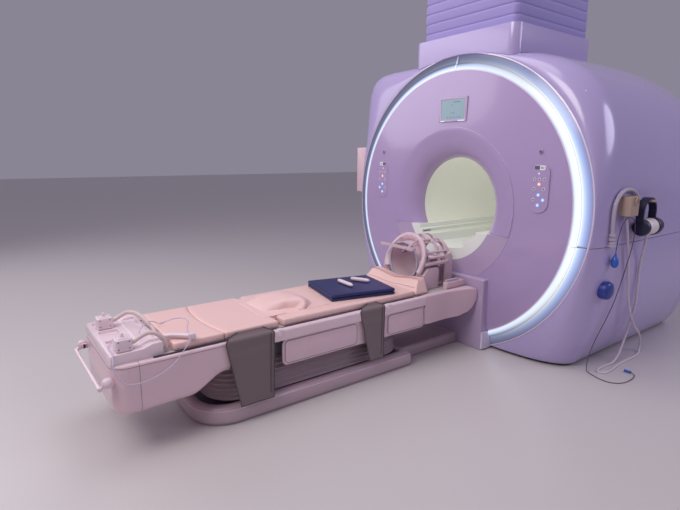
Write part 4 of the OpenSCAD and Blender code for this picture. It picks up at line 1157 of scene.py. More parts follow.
@dataclass
class RingLight(Part):
    """Lit lens round the face, open behind the pillar and at its joints."""

    inner: float = 958.3
    outer: float = 1057.7
    pillar_x: float = 416.0
    pillar_top: float = 500.0
    gap: float = 0.5

    def build(self) -> None:
        """Builds the lens and paints the channel."""
        us = np.concatenate([np.linspace(0, 0.4, 7), [0.405], np.linspace(0.43, 1.0, 8)])
        rise = np.interp(us, [0, 0.2, 0.4, 0.41, 0.6, 0.8, 1], [0, -2, 0, 3, 1, 0, 0])
        r = self.inner + (self.outer - self.inner) * us
        y = 17 + 35 * (us * 0.92 + 0.08 * us * us) + rise
        profile = list(zip(r, y)) + list(zip(r[::-1], (y - rise)[::-1] + 8))
        lens = Shape().turned(profile, (0, 0, AXIS_H), "y", 360, closed=True)
        obj = self.shop.make("ring_lens", lens, Paint.LED, "base", ["ring_light"], smooth=30)
        self._open(obj)
        obj.data.materials.clear()
        obj.data.materials.append(self._material())
        self.shop.paint(Paint.BEZEL, "ring_channel")

    def _open(self, obj: bpy.types.Object) -> None:
        """Takes out the lens behind the pillar and at its joints.

        Args:
            obj: The lens.
        """
        with editing(obj.data) as work:
            for x in (self.pillar_x, -self.pillar_x, self.gap, -self.gap):
                slice_mesh(work, ((x, 0, 0), (1, 0, 0)))
            for z in (SEAM_H - self.gap, SEAM_H + self.gap):
                slice_mesh(work, ((0, 0, z), UP))
            gone = [face for face in work.faces if self._is_open(face.calc_center_median() / MM)]
            bmesh.ops.delete(work, geom=gone, context="FACES")
            bmesh.ops.holes_fill(work, edges=work.edges, sides=0)
            bmesh.ops.recalc_face_normals(work, faces=work.faces)

    def _is_open(self, middle: Vector) -> bool:
        """Tells whether the lens is left out at a face.

        Args:
            middle: The face's middle in millimetres.

        Returns:
            Whether it lies behind the pillar or in a joint.
        """
        x, z = middle.x, middle.z
        behind_pillar = abs(x) < self.pillar_x and z < self.pillar_top
        return behind_pillar or abs(z - SEAM_H) < self.gap or (abs(x) < self.gap and z > AXIS_H)

    def _material(self) -> bpy.types.Material:
        """Makes the lens: a white band inside, blue further out, dimmer from the side.

        Returns:
            The material.
        """
        material, tree, shader = new_material("ring_glow")
        place = tree.add("ShaderNodeTexCoord")["Object"]
        parts = tree.add("ShaderNodeSeparateXYZ", {0: place})
        height = tree.add("ShaderNodeMath", {0: parts[2], 1: AXIS_H * MM}, operation="SUBTRACT")
        flat = tree.add("ShaderNodeCombineXYZ", {0: parts[0], 2: height[0]})
        radius = tree.add("ShaderNodeVectorMath", {0: flat[0]}, operation="LENGTH")
        share = tree.add("ShaderNodeMapRange", {"Value": radius["Value"], "From Min": self.inner * MM,
                                                "From Max": self.outer * MM})
        bands = self._ramp(tree, share[0], [
            (0.0, (0.62, 0.72, 0.95)), (0.06, (0.80, 0.90, 1.0)), (0.16, (0.93, 0.98, 1.0)),
            (0.44, (0.93, 0.98, 1.0)), (0.54, (0.60, 0.73, 0.98)), (0.68, (0.40, 0.50, 0.84)),
            (0.85, (0.27, 0.32, 0.60)), (1.0, (0.20, 0.21, 0.40))])
        side = self._ramp(tree, share[0], [
            (0.0, (0.86, 0.93, 1.0)), (0.14, (0.60, 0.73, 0.98)), (0.28, (0.34, 0.42, 0.70)),
            (0.36, (0.10, 0.11, 0.18)), (1.0, (0.06, 0.06, 0.10))])
        facing = tree.add("ShaderNodeLayerWeight", {"Blend": 0.5})["Facing"]
        turn = self._ramp(tree, facing, [(0.05, (0, 0, 0)), (0.26, (0.8, 0.8, 0.8)), (0.42, (1, 1, 1))])
        mix = tree.add("ShaderNodeMix", {0: turn, 6: bands, 7: side}, data_type="RGBA")
        tree.fill(shader, {"Emission Color": mix[2], "Emission Strength": 1.0, "Roughness": 0.2,
                           "Base Color": (0.06, 0.065, 0.09, 1.0)})
        return material

    @staticmethod
    def _ramp(tree: Tree, share: bpy.types.NodeSocket,
              stops: Sequence[tuple[float, Point]]) -> bpy.types.NodeSocket:
        """Adds a colour ramp.

        Args:
            tree: The material's tree.
            share: The socket that it reads.
            stops: Place and colour of each stop.

        Returns:
            The ramp's colour.
        """
        colour = tree.add("ShaderNodeValToRGB", {0: share})[0]
        elements = colour.node.color_ramp.elements
        for k, (place, shade) in enumerate(stops):
            element = elements[k] if k < 2 else elements.new(place)
            element.position = place
            element.color = (*shade, 1.0)
        return colour


@dataclass
class FaceDetails(Part):
    """Display, keypads, gate and pillar on the face."""

    screen: tuple[float, float, float, float] = (-96.2, 1618.3, 116.2, 1755.7)
    keypad_x: float = 730.0
    keypad_z: float = 1166.0

    def build(self) -> None:
        """Builds the details."""
        self._display()
        self._keypads()
        # The liner and bridge take the glowing paints, which are painted light inside the bore.
        for paint, node in ((Paint.TRIM_SHADED, "table_gate"), (Paint.BORE_LIT, "bore_liner"),
                            (Paint.LEDGE_LIT, "table_bridge"), (Paint.DARK, "base_skirt")):
            self.shop.paint(paint, node)
        self.shop.soften("dock_pillar", Paint.TRIM_SHADED, "base", 10.0)
        slot = Shape().box((-40, 110, 1351.5), (-8, 122, 1357))
        self.shop.make("bore_slot", slot, Paint.DARK, "base", bevel=1.0)
        seam = Shape().turned([(563.6, 3.0), (563.6, -0.2), (565.9, -0.2), (565.9, 3.0)],
                              (0, 0, AXIS_H), "y", 240)
        table_h, trough_h = 832, 829
        for name, form, paint, cut in (
                ("bore_step", Shape().hoop(356.5, 430, 127.5, 130), Paint.LEDGE_LIT, ((0, 0, trough_h), UP)),
                ("bore_lip", Shape().hoop(354.4, 358.2, 124, 128.5), Paint.JOINT, ((0, 0, table_h), DOWN)),
                ("mouth_seam", seam, Paint.BEZEL, ((0, 0, table_h), DOWN))):
            self.shop.make(name, form, paint, "base", cuts=[cut])

    def _display(self) -> None:
        """Builds the display: housing, glass with plain icons, and a glowing bar under it, a painted
        highlight on the sill.
        """
        self.shop.soften("display_housing", Paint.TRIM_SHADED, "base", 3.0)
        x0, z0, x1, z1 = self.screen
        back_y, glass_y, icon_y, button_y = -2.0, -3.9, -4.4, -4.6
        glass, lit, dark = range(3)
        shape = Shape().plate(self.screen, 4, glass_y, back_y, glass)
        button_h, button_pitch = 12, 28
        for k in range(5):
            chosen = k == 3
            x = x0 + 58 + button_pitch * k
            size = 8.5 if chosen else 5.0
            box = (x - size, z0 + button_h - size / 2, x + size, z0 + button_h + size)
            shape.plate(box, 3, button_y, glass_y, lit if chosen else dark)
        shape.plate((x0 + 112, z1 - 22, x0 + 172, z1 - 17), 1, icon_y, glass_y, dark)
        icon_w, icon_h = 9, 7
        for dx, dz in ((96, 40), (116, 40), (96, 96)):
            box = (x0 + dx, z0 + dz, x0 + dx + icon_w, z0 + dz + icon_h)
            shape.plate(box, 2, icon_y, glass_y, dark)
        # Painted highlight: a thin bar in the glowing LED paint lies along the sill.
        sill = Shape().plate((x0 - 6, 1604.5, x1 + 6, 1609.5), 2, -6.0, -3.4)
        self.shop.make("screen_sill_highlight", sill, Paint.LED, "base")
        self.shop.make("screen_glass", shape, [Paint.SCREEN, Paint.ICON_BLUE, Paint.ICON_DARK],
                       "base", ["display_screen"])

    def _keypads(self) -> None:
        """Builds both keypads with their keys, windows and round lenses."""
        px, pz = self.keypad_x, self.keypad_z
        plate_y, window_y, key_y, mark_y, digit_y = -0.8, -1.8, -2.2, -2.8, -3.0
        half_w, half_h, rim = 67, 155, 3
        face, key, dark, red, blue, led = range(6)
        shape = Shape()
        for inset, y0, y1 in ((0, 0, 22), (rim, plate_y, 0)):
            w, h = half_w - inset, half_h - inset
            shape.plate((px - w, pz - h, px + w, pz + h), w - 4, y0, y1, face, 14)
        keys = [((0, 55), dark), ((-33, 55), key), ((33, 55), key), ((0, 25), red), ((-33, -4), key),
                ((33, -4), key), ((-33, -72), key), ((33, -72), blue), ((0, -42), blue), ((0, -106), blue)]
        for (dx, dz), mark in keys:
            lit = mark in (red, blue)
            for r, y0, y1, colour in ((12 if lit else 11, key_y, plate_y, mark if lit else key),
                                      (6.5 if lit else 5.5, mark_y, key_y, led if lit else dark)):
                shape.prism(arc(px + dx, pz + dz, r, 0, 345, 23), "xz", y0, y1, colour)
        window_top = -2.6
        shape.plate((px - 41, pz + 110, px + 35, pz + 142), 12, window_y, plate_y, key)
        shape.plate((px - 38, pz + 114, px - 2, pz + 138), 3, window_top, window_y, dark)
        shape.plate((px, pz + 115, px + 32, pz + 137), 3, window_top, window_y, led)
        for x in (px + 4, px + 13, px + 22):
            shape.plate((x, pz + 118, x + 6, pz + 134), 1, digit_y, window_top, dark)
        shape.prism(arc(px - 6, pz + 90, 5, 0, 345, 15), "xz", key_y, plate_y, led)
        lens = (px - 8, 0, pz + 225)
        shape.turned([(0.1, -3.0), (5, -2.6), (8, -0.6), (9, 2)], lens, "y", 32, mark=dark)
        collar = [(9, -1.2), (9, 2), (13.5, 2), (13.5, -0.4), (11.5, -1.6)]
        shape.turned(collar, lens, "y", 32, True, face)
        paints = [Paint.FACE, Paint.KEY, Paint.KEY_DARK, Paint.KEY_RED, Paint.KEY_BLUE, Paint.LED]
        self.shop.make("keypad_faces", shape.mirrored(), paints, "base", ["keypads"], smooth=50)


@dataclass
class Couch(Part):
    """Plinth, bellows, housings, rails, arms, straps and handle of the couch."""

    plinth_foot: float = -2057.0
    plinth_head: float = -630.0
    bellows_z: tuple[float, float] = (100.3, 298.0)
    pleats: int = 7
    cap_y: tuple[float, float] = (-2445.0, -2330.5)
    foot_y: tuple[float, float] = (-2329.7, -1900.3)
    underside: float = 213.0
    handle_y: float = -2463.0
    handle_z: float = 388.0
    rail_y: tuple[float, float] = (-1899.5, -520.3)
    skirt_x: tuple[float, float, float, float] = (288, 299, 302, 303.4)
    panels: Sequence[tuple[float, float]] = ((-1585, -1095), (-845, -535))
    insets: Sequence[tuple[float, float]] = ((-1440, -1210), (-760, -620))

    def build(self) -> None:
        """Builds the couch."""
        self._base()
        self._bellows()
        self._housings()
        self._rails()
        self._arms()
        self._straps()
        self._handle()

    def _base(self) -> None:
        """Builds the plinth with its raised edge, a painted highlight along that edge and a deck in painted
        shade, and softens the link bar.
        """
        shop = self.shop
        plan = self._plan(HOUSING_HALF, self.plinth_foot, self.plinth_head, 200, 8.0)
        sweep = [(26, 0), (14, 4), (11, 16), (2, 20), (0, 30), (0, 62), (3, 76), (9, 88), (18, 97),
                 (30, 100.0), (46, 100.0), (56, 97), (60, 88), (60, 31)]
        rows = [[(x, y, z) for x, y in self._inset(plan, d)] for d, z in sweep]
        base = Shape().grid(np.array(rows), (False, True))
        shop.make("plinth_shell", base, Paint.PLINTH, "base", ["plinth"], smooth=45)
        # Painted highlight: a thin pale tube runs along the plinth's top edge.
        rim = [(x, y, 81.0) for x, y in self._inset(plan, 4.6)]
        shop.make("plinth_edge_highlight", Shape().tube(np.array(rim + rim[:1]), 1.6, 8), Paint.RAIL, "base")
        # Painted shade: a dark deck closes the recess under the bellows.
        deck = Shape().prism(self._inset(plan, 61), "xy", 28, 31)
        shop.make("plinth_deck_shade", deck, Paint.JOINT, "base")
        shop.soften("link_bar", Paint.PLINTH, "base", 12.0)

    def _bellows(self) -> None:
        """Builds the pleated bellows between base and couch."""
        z0, z1 = self.bellows_z
        steps = self.pleats * 8
        rows = []
        for share in np.arange(steps + 1) / steps:
            wave = 0.5 + 0.5 * math.cos(share * self.pleats * 2 * math.pi)
            d = 18.0 * wave ** 0.8
            ring = rounded(-262 + d, -1970 + d, 262 - d, -660 - d, 170 - d, 12)
            rows.append([(x, y, z0 + (z1 - z0) * share) for x, y in ring])
        cloth = Shape().grid(np.array(rows), (False, True))
        obj = self.shop.make("bellows_skin", cloth, Paint.BELLOWS, "", ["bellows"], smooth=60)
        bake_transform(obj)
        self.shop.paint(Paint.STEEL, "lift_outer_tubes", "lift_middle_tubes", "lift_inner_tubes")
        self.shop.paint(Paint.METAL_FRAME, "couch_frame", "magnet_feet")

    @staticmethod
    def _plan(half: float, foot: float, head: float, r: float, q: float) -> np.ndarray:
        """Gives the plan of a block with a round foot end, and its outward directions.

        Args:
            half: Half the width.
            foot: Foot end.
            head: Head end.
            r: Radius of the foot end's corners.
            q: Radius of the head end's corners.

        Returns:
            Rows of x, y and the outward direction.
        """
        return np.array(corner_run(-half + r, foot + r, r, 180, 270, 24)
                        + corner_run(half - r, foot + r, r, 270, 360, 24)
                        + corner_run(half - q, head - q, q, 0, 90, 6)
                        + corner_run(-half + q, head - q, q, 90, 180, 6))

    @staticmethod
    def _inset(plan: np.ndarray, d: float) -> list[tuple[float, float]]:
        """Gives the outline of a plan drawn inwards.

        Args:
            plan: Rows of x, y and the outward direction.
            d: How far inwards.

        Returns:
            The outline's points.
        """
        half = plan[:, 0].max()
        y0, y1 = plan[:, 1].min(), plan[:, 1].max()
        x = np.clip(plan[:, 0] - plan[:, 2] * d, -half + d, half - d)
        y = np.clip(plan[:, 1] - plan[:, 3] * d, y0 + d, y1 - d)
        return list(zip(x, y))

    def _housings(self) -> None:
        """Builds the foot housing, the end cap with its lugs, and the seams between them."""
        shop = self.shop
        ys = np.linspace(*self.foot_y, 44)
        flat_run, bend_run, flat_rise, bend_rise = 225, 185, 6, 80
        bend_y = self.cap_y[1] + 0.5 + flat_run
        flat = np.clip((ys - bend_y + flat_run) / flat_run, 0, 1)
        bend = np.clip((ys - bend_y) / bend_run, 0, 1)
        floor = self.underside + flat_rise * flat + bend_rise * bend ** 2 * (3 - 2 * bend)
        rows = [[(x, y, z) for x, z in self._section(low)] for y, low in zip(ys, floor)]
        foot = Shape().grid(np.array(rows), (False, True))
        shop.make("foot_shell", foot, Paint.COUCH, "couch", ["foot_housing"], smooth=45)
        plan = self._cap_plan()
        rows = [[(x - nx * d, y - ny * d, z) for x, y, nx, ny in plan]
                for d, z in self._side_profile(self.underside)]
        cap = Shape().grid(np.array(rows))
        for edge in (rows[0], rows[-1]):
            cap.add(edge, [list(range(len(edge)))])
        y, z = self.handle_y, self.handle_z
        lug = Shape().box((247.7, y, z - 11), (263.7, y + 34, z + 11))
        lug.turned([(0.1, 247.7), (11, 247.7), (11, 263.7), (5, 263.7), (5, 265.5), (0.1, 265.5)],
                   (0, y, z), "x", 32).mirrored()
        shop.make("cap_shell", cap, Paint.COUCH, "couch", ["end_cap"], smooth=45)
        shop.make("cap_lugs", lug, Paint.COUCH, "couch", bevel=1.5)
        line = [(x, -2330.3, z) for x, z in self._section(self.underside)]
        band_h, out, end = 440.5, HOUSING_HALF + 0.1, self.foot_y[1]
        around = [(x, y, band_h) for x, y, *_ in plan]
        band = [(-out, end, band_h)] + around + [(out, end, band_h)]
        seam = Shape().tube(np.array(line[:len(line) // 2]), 0.9, 6).tube(np.array(band), 1.1, 6)
        shop.make("cap_seam", seam, Paint.JOINT, "couch")

    @staticmethod
    def _side_profile(low: float) -> list[tuple[float, float]]:
        """Gives the housing's side from its top edge to its underside.

        Args:
            low: Height of the underside.

        Returns:
            Points as distance inside the skin and height.
        """
        top = [(25, 455.0)] + [(12 - 12 * math.sin(a), 443 + 12 * math.cos(a))
                               for a in np.radians(np.linspace(0, 90, 6))]
        r = 34.0
        side = [(0, 420), (0.5, 330), (1.5, low + r + 20)]
        under = [(2 + r - r * math.cos(a), low + r - r * math.sin(a))
                 for a in np.radians(np.linspace(0, 90, 9))]
        return top + side + under

    def _section(self, low: float) -> list[tuple[float, float]]:
        """Gives the housing's section across the couch.

        Args:
            low: Height of the underside.

        Returns:
            Points as x and height.
        """
        half = [(HOUSING_HALF - d, z) for d, z in self._side_profile(low)]
        return half + [(-x, z) for x, z in half[::-1]]

    def _cap_plan(self) -> np.ndarray:
        """Gives the end cap's plan from side to side, round the foot end.

        Returns:
            Rows of x, y and the outward direction.
        """
        half, r = HOUSING_HALF, 70.0
        foot, head = self.cap_y
        straight = foot + r + 20
        return np.array([(-half, head, -1, 0), (-half, straight, -1, 0)]
                        + corner_run(-half + r, foot + r, r, 180, 270, 16)
                        + corner_run(half - r, foot + r, r, 270, 360, 16)
                        + [(half, straight, 1, 0), (half, head, 1, 0)])

    def _rails(self) -> None:
        """Builds the side rails, with a dark box of painted shade in each groove and a metal strip beside
        it, and the skirts with their panels.
        """
        shop = self.shop
        band = [(243, 427), (285, 427), (285, 397)] + arc(303, 402, 7, 270, 360, 5)
        band += arc(296, 446, 14, 0, 90, 8) + arc(290, 455, 5, 90, 180, 4) + [(285, 437), (243, 437)]
        rail = Shape().prism(band, "xz", *self.rail_y).mirrored()
        shop.make("rail_bands", rail, Paint.RAIL, "couch", ["side_rails"], smooth=35)
        back, board, panel, inset = self.skirt_x
        skirt = Shape().prism(rounded(-1600, 250, -520, 394.5, 30, 8), "yz", back, board)
        lines = Shape()
        line_x, z0, z1, r = 302.4, 262, 385, 22
        for y0, y1 in self.panels:
            skirt.prism(rounded(y0, z0, y1, z1, r, 8), "yz", board, panel)
            loop = [(line_x, y, z) for y, z in rounded(y0 - 1, z0 - 1, y1 + 1, z1 + 1, r + 1, 8)]
            lines.tube(np.array(loop + loop[:1]), 1.1, 6)
        for y0, y1 in self.insets:
            skirt.prism(rounded(y0, 285, y1, 362, 14, 8), "yz", panel, inset)
        shop.make("skirt_lines", lines.mirrored(), Paint.JOINT, "couch")
        shop.make("skirt_panels", skirt.mirrored(), Paint.COUCH, "couch", ["side_skirts"], bevel=1.6,
                  smooth=35)
        # Painted shade: a dark box fills the groove between rail and board.
        groove = Shape().box((271.5, -2262, 456.6), (285.2, -530, 459.0))
        groove.box((285.2, -1899, 456.6), (288.6, -530, 461.2), 1).mirrored()
        shop.make("rail_groove_shade_and_strip", groove, [Paint.DARK, Paint.STEEL], "couch")

    def _arms(self) -> None:
        """Builds the arms that flare out at the head end."""
        ys = np.array([-519.7, -470, -400, -320, -260, -200, -160, -120, -90, -76, -66, -61.5, -60.0])
        out = np.interp(ys, [-520, -320, -260, -160, -90, -60], [307, 308, 314, 333, 351, 360])
        low = np.interp(ys, [-520, -470, -200, -120, -90, -60], [262, 258, 262, 285, 310, 360])
        top = 460.0 - np.array([0, 0, 0, 0, 0, 0, 0, 0, 1, 4, 10, 20, 34.0])
        rows = []
        for y, x1, z0, z1 in zip(ys, out, low, top):
            ring = [(282, z0)] + arc(x1 - 12, z0 + 10, 10, 270, 360, 4)
            ring += arc(x1 - 12, z1 - 14, 12, 0, 90, 6) + [(282, z1)]
            rows.append([(x, y, z) for x, z in ring])
        arm = Shape().grid(np.array(rows), (False, True), True).mirrored()
        self.shop.make("arm_shells", arm, Paint.COUCH, "couch", ["head_arms"], smooth=45)

    def _straps(self) -> None:
        """Hangs both straps on each side, with the blocks that hold them."""
        for name, foot, head, low in (("wide", -1930.0, -1630.0, 105.0),
                                      ("narrow", -1080.0, -860.0, 135.0)):
            rows = self._strap_rows(foot, head, low)
            for side, sign in (("left", -1), ("right", 1)):
                self._strap("strap_" + name + "_" + side, rows * [sign, 1, 1], sign)
        blocks = Shape()
        for y in (-1622, -852):
            blocks.box((285, y - 6, 420), (313, y + 22, 463))
        blocks.mirrored()
        self.shop.make("strap_blocks", blocks, Paint.PLUG, "couch", bevel=4.0)

    @staticmethod
    def _strap_rows(foot: float, head: float, low: float) -> np.ndarray:
        """Gives a strap's surface from the pad's edge over the rail down to its hem.

        Args:
            foot: Its foot edge along the couch.
            head: Its head edge.
            low: Height of its hem.

        Returns:
            Rows of points across the strap, from the top down.
        """
        rail_top, band_foot, bulge, swing = 460.0, 395.0, 3.0, 10.0
        foot_taper, head_taper, foot_tuck, head_tuck = 66, 18, 82, 50
        heights = np.concatenate([[487.0, 480.0, 470.0, 465.0, rail_top, 452.0], np.linspace(440, low, 24)])
        over = np.concatenate([[279.0, 282.0, 290.0, 301.0, 309.0], np.full(25, 311.5)])
        rows = []
        for z, out in zip(heights, over):
            hang = (rail_top - z) / (rail_top - low)
            x = out + swing * max(hang, 0) ** 1.5 + (bulge if z < band_foot else 0)
            left = foot + 4 + foot_taper * hang + foot_tuck * np.clip((z - 455) / 32, 0, 1) ** 1.3
            right = head - 24 - head_taper * hang - head_tuck * np.clip((z - 462) / 25, 0, 1)
            rows.append([(x + 2.0 * math.sin(s * 7.0 + z * 0.01) * hang, left + (right - left) * s, z)
                         for s in np.linspace(0, 1, 15)])
        return np.array(rows)

    def _strap(self, name: str, rows: np.ndarray, sign: int) -> None:
        """Args:
            name: The strap's name.
            rows: Its surface.
            sign: The side of the couch.
        """
        cloth = self.shop.make(name, Shape().grid(rows), Paint.STRAP, "couch", ["straps"], shell=3.0,
                               smooth=60)
        hem = Shape()
        for line in (rows[:, 0], rows[:, -1], rows[-1]):
            hem.tube(line, 2.6, 8)
        hem.tube(rows[4:-2, -1] + [sign * 2.5, -20, 0], 1.6, 8)
        edge = self.shop.make(name + "_hem", hem, Paint.EDGING, "couch")

    def _handle(self) -> None:
        """Builds the release handle: a bent bar between two knobs."""
        y, z = self.handle_y, self.handle_z
        path = [(-275, y, z), (-275, y - 14, z - 10), (-274, y - 27, z - 20), (-262, y - 32, z - 23),
                (-240, y - 32, z - 23)]
        path += [(-x, py, pz) for x, py, pz in path[::-1]]
        bar = Shape().tube(smooth_route(path, 4), 9.0, 16)
        boss = [(0.1, -8), (17, -8), (23, -2), (25, 6), (22, 15), (15, 22), (7, 26), (0.1, 27)]
        for side in (-1, 1):
            bar.turned([(r, side * d) for r, d in boss], (side * 275, y, z), "x", 40)
        self.shop.make("handle_bar", bar, Paint.PLUG, "handle", ["release_handle"], smooth=60)


@dataclass
class Cushions(Part):
    """Mattress pads, wedge, folded pad and small pads."""

    lie: float = 457.3
    top: float = 500.0
    bend_r: float = 1130.0
    sheet: float = 0.3

    def build(self) -> None:
        """Builds the cushions."""
        self.shop.soften("tabletop", Paint.BOARD, "table", 3.0)
        block_top = 506
        latch = Shape().box((236, -282, 459), (275.8, -103.4, block_top)).mirrored()
        self.shop.make("latch_blocks", latch, Paint.COUCH, "table", bevel=4.0)
        grip = Shape().box((244, -272, block_top), (264, -150, block_top + 15)).mirrored()
        self.shop.make("latch_grips", grip, Paint.ARCH, "table", bevel=5.0)
        self._mattress()
        self._wedge()
        self._folded()
        self._small()

    def _curve(self, x: np.ndarray) -> np.ndarray:
        """Gives how far the curved joint of two pads lies behind its middle.

        Args:
            x: Places across the couch.

        Returns:
            Distances along the couch.
        """
        return self.bend_r - np.sqrt(self.bend_r ** 2 - x ** 2)

    def _pad(self, name: str, y0: float, y1: float, node: str, bend: tuple[bool, bool]) -> None:
        """Builds one mattress pad.

        Args:
            name: The pad's name.
            y0: Its foot end.
            y1: Its head end.
            node: The CAD node it stands for.
            bend: Whether the foot end and the head end follow the curved joint.
        """
        half = 270
        cells = (26, max(12, int((y1 - y0) / 22)), 6)
        form = cushion_form((-half, y0, self.lie), (half, y1, self.top - 1.5), 11.0, cells)

        def crown(p: np.ndarray) -> np.ndarray:
            """Raises the middle of the pad and bends its ends."""
            x, y, z = p[:, 0], p[:, 1], p[:, 2]
            share = np.clip((z - self.lie) / (self.top - self.lie), 0, 1)
            run = (y - y0) / (y1 - y0)
            rise = 2.6 * (1 - (x / half) ** 4) * (1 - (2 * run - 1) ** 8)
            y = y + self._curve(x) * ((1 - run) * bend[0] + run * bend[1])
            return np.stack([x, y, z + rise * share ** 2], axis=1)

        obj = self.shop.make(name, form.warp(crown), Paint.VINYL, "table", [node], smooth=70)

    def _mattress(self) -> None:
        """Builds the three pads, their stitching and the collar."""
        self._pad("pad_foot", -2165, -1941.5, "mattress_foot", (False, True))
        self._pad("pad_mid", -1940.0, -1602, "mattress_mid", (True, False))
        self._pad("pad_head", -1573, -587, "mattress_head", (False, False))
        lines = Shape()
        for y0, y1 in ((-2150, -1925), (-1905, -1615), (-1560, -600)):
            lines.tube(np.array([(270.2, y, 470.0) for y in np.linspace(y0, y1, 30)]), 0.9, 6)
        self.shop.make("pad_stitching", lines.mirrored(), Paint.SEAM, "table")
        half, foot, tall, straight = 268, -582, 103, 12
        form = cushion_form((-half, foot, self.lie), (half, -456, self.lie + tall), 14.0, (34, 16, 10))
        narrowing, hollow, hollow_half, lean = 40, 26, 120, 58

        def collar(p: np.ndarray) -> np.ndarray:
            """Narrows the collar upwards, hollows its middle and slopes its foot side."""
            x, y, z = p[:, 0], p[:, 1], p[:, 2]
            share = np.clip((z - self.lie - straight) / (tall - straight), 0, 1)
            x = x * (1 - share * narrowing / half)
            dip = hollow * np.exp(-(x / hollow_half) ** 2) * share
            slope = lean * share * np.clip((foot + 47 - y) / 47, 0, 1) + 12 * share ** 2 * (y < -519)
            return np.stack([x, y + slope, z - dip], axis=1)

        line = collar(np.array([(x, foot, 506.0) for x in np.linspace(-250, 250, 41)]))
        self.shop.make("collar_seam", Shape().tube(line - [0, 0.9, 0], 1.5, 8), Paint.SEAM, "table")
        obj = self.shop.make("pad_collar", form.warp(collar), Paint.VINYL, "table", ["collar_pad"],
                             smooth=70)

    def _wedge(self) -> None:
        """Builds the knee wedge and lets its cover settle."""
        z0, length, foot, ridge, height = self.top + self.sheet, 531.0, -1737.0, -1371.0, 171.0
        x0, x1, edge = -215, 190, 14
        form = cushion_form((x0, 0, 0), (x1, 1, 1), 0.0001, (26, 34, 8))

        def slope(p: np.ndarray) -> np.ndarray:
            """Raises a flat slab to the wedge's ridge, with a lifted foot edge."""
            x, s, h = p[:, 0], p[:, 1], p[:, 2]
            y = foot + length * s
            head = foot + length
            up = np.where(y < ridge, (y - foot) / (ridge - foot), (head - y) / (head - ridge))
            soft = 1 - np.sqrt((1 - up) ** 2 + 0.006) + 0.0387
            lift = 15 * np.exp(-((y - foot) / 55) ** 2) * (1.2 - (x - x0) / 600)
            z = z0 + lift + h * (edge + (height - edge) * np.clip(soft, 0, 1)) - lift * h * 0.2
            return np.stack([x, y, z], axis=1)

        def swell(p: np.ndarray) -> np.ndarray:
            """Swells the sides of the wedge and rumples their cloth."""
            mid, half = (x0 + x1) / 2, (x1 - x0) / 2
            away = p[:, 0] - mid
            belly = np.sin((p[:, 2] - 500) / 172 * np.pi).clip(0, 1)
            rumple = 1.8 * np.sin(p[:, 1] / 31 + p[:, 2] / 19) * belly * (np.abs(away) > half * 0.98)
            out = p.copy()
            out[:, 0] = mid + np.clip(away * (1.0 + 0.012 * belly), -half - 2, half + 2) + rumple
            return out

        obj = self.shop.make("wedge_cover", form.warp(slope).warp(swell), Paint.WEDGE, "table",
                             ["wedge_cushion"], bevel=5.0, smooth=60, bevel_angle=50)
        floor = (z0 + 1.5) * MM
        relax(obj, lambda v: v.z < floor, 0.35, 14)

    def _folded(self) -> None:
        """Builds the two layers of the folded pad, turned a little on the mattress."""
        z0 = self.top + self.sheet
        turn = math.radians(-12.0)
        c, s = math.cos(turn), math.sin(turn)

        def lay(p: np.ndarray) -> np.ndarray:
            """Turns a layer to its place and gives it a slight wave."""
            x, y, z = p[:, 0], p[:, 1], p[:, 2]
            wave = 0.8 * np.sin(x / 70 + y / 90) * (z / 40)
            return np.stack([18 + c * x - s * y, -925 + s * x + c * y, z0 + z + wave], axis=1)

        for name, lo, hi in (("lower", 0.2, 19.6), ("upper", 20.2, 39.8)):
            form = cushion_form((-200, -220, lo), (200, 220, hi), 8.0, (26, 28, 4)).warp(lay)
            obj = self.shop.make("fold_" + name, form, Paint.NAVY_PAD, "table", ["folded_pad"], smooth=70)

    def _small(self) -> None:
        """Builds the two small pads that lie on the folded one."""
        shape = Shape()
        r, fold_h = 13, 40.6
        z = self.top + fold_h + r
        for x, y, a, length in ((8, -960, -4, 150), (0, -830, 25, 120)):
            ts = np.linspace(-1, 1, 25)
            half = length / 2 + 12
            radii = r * (1 - np.abs(ts) ** 6) ** 0.5 + 0.2
            c, s = math.cos(math.radians(a)), math.sin(math.radians(a))
            path = np.stack([x + c * ts * half, y + s * ts * half, z + 0 * ts], axis=1)
            shape.tube(path, radii, 20)
        self.shop.make("rest_pads", shape, Paint.PLUG, "table", ["hand_pads"], smooth=80)


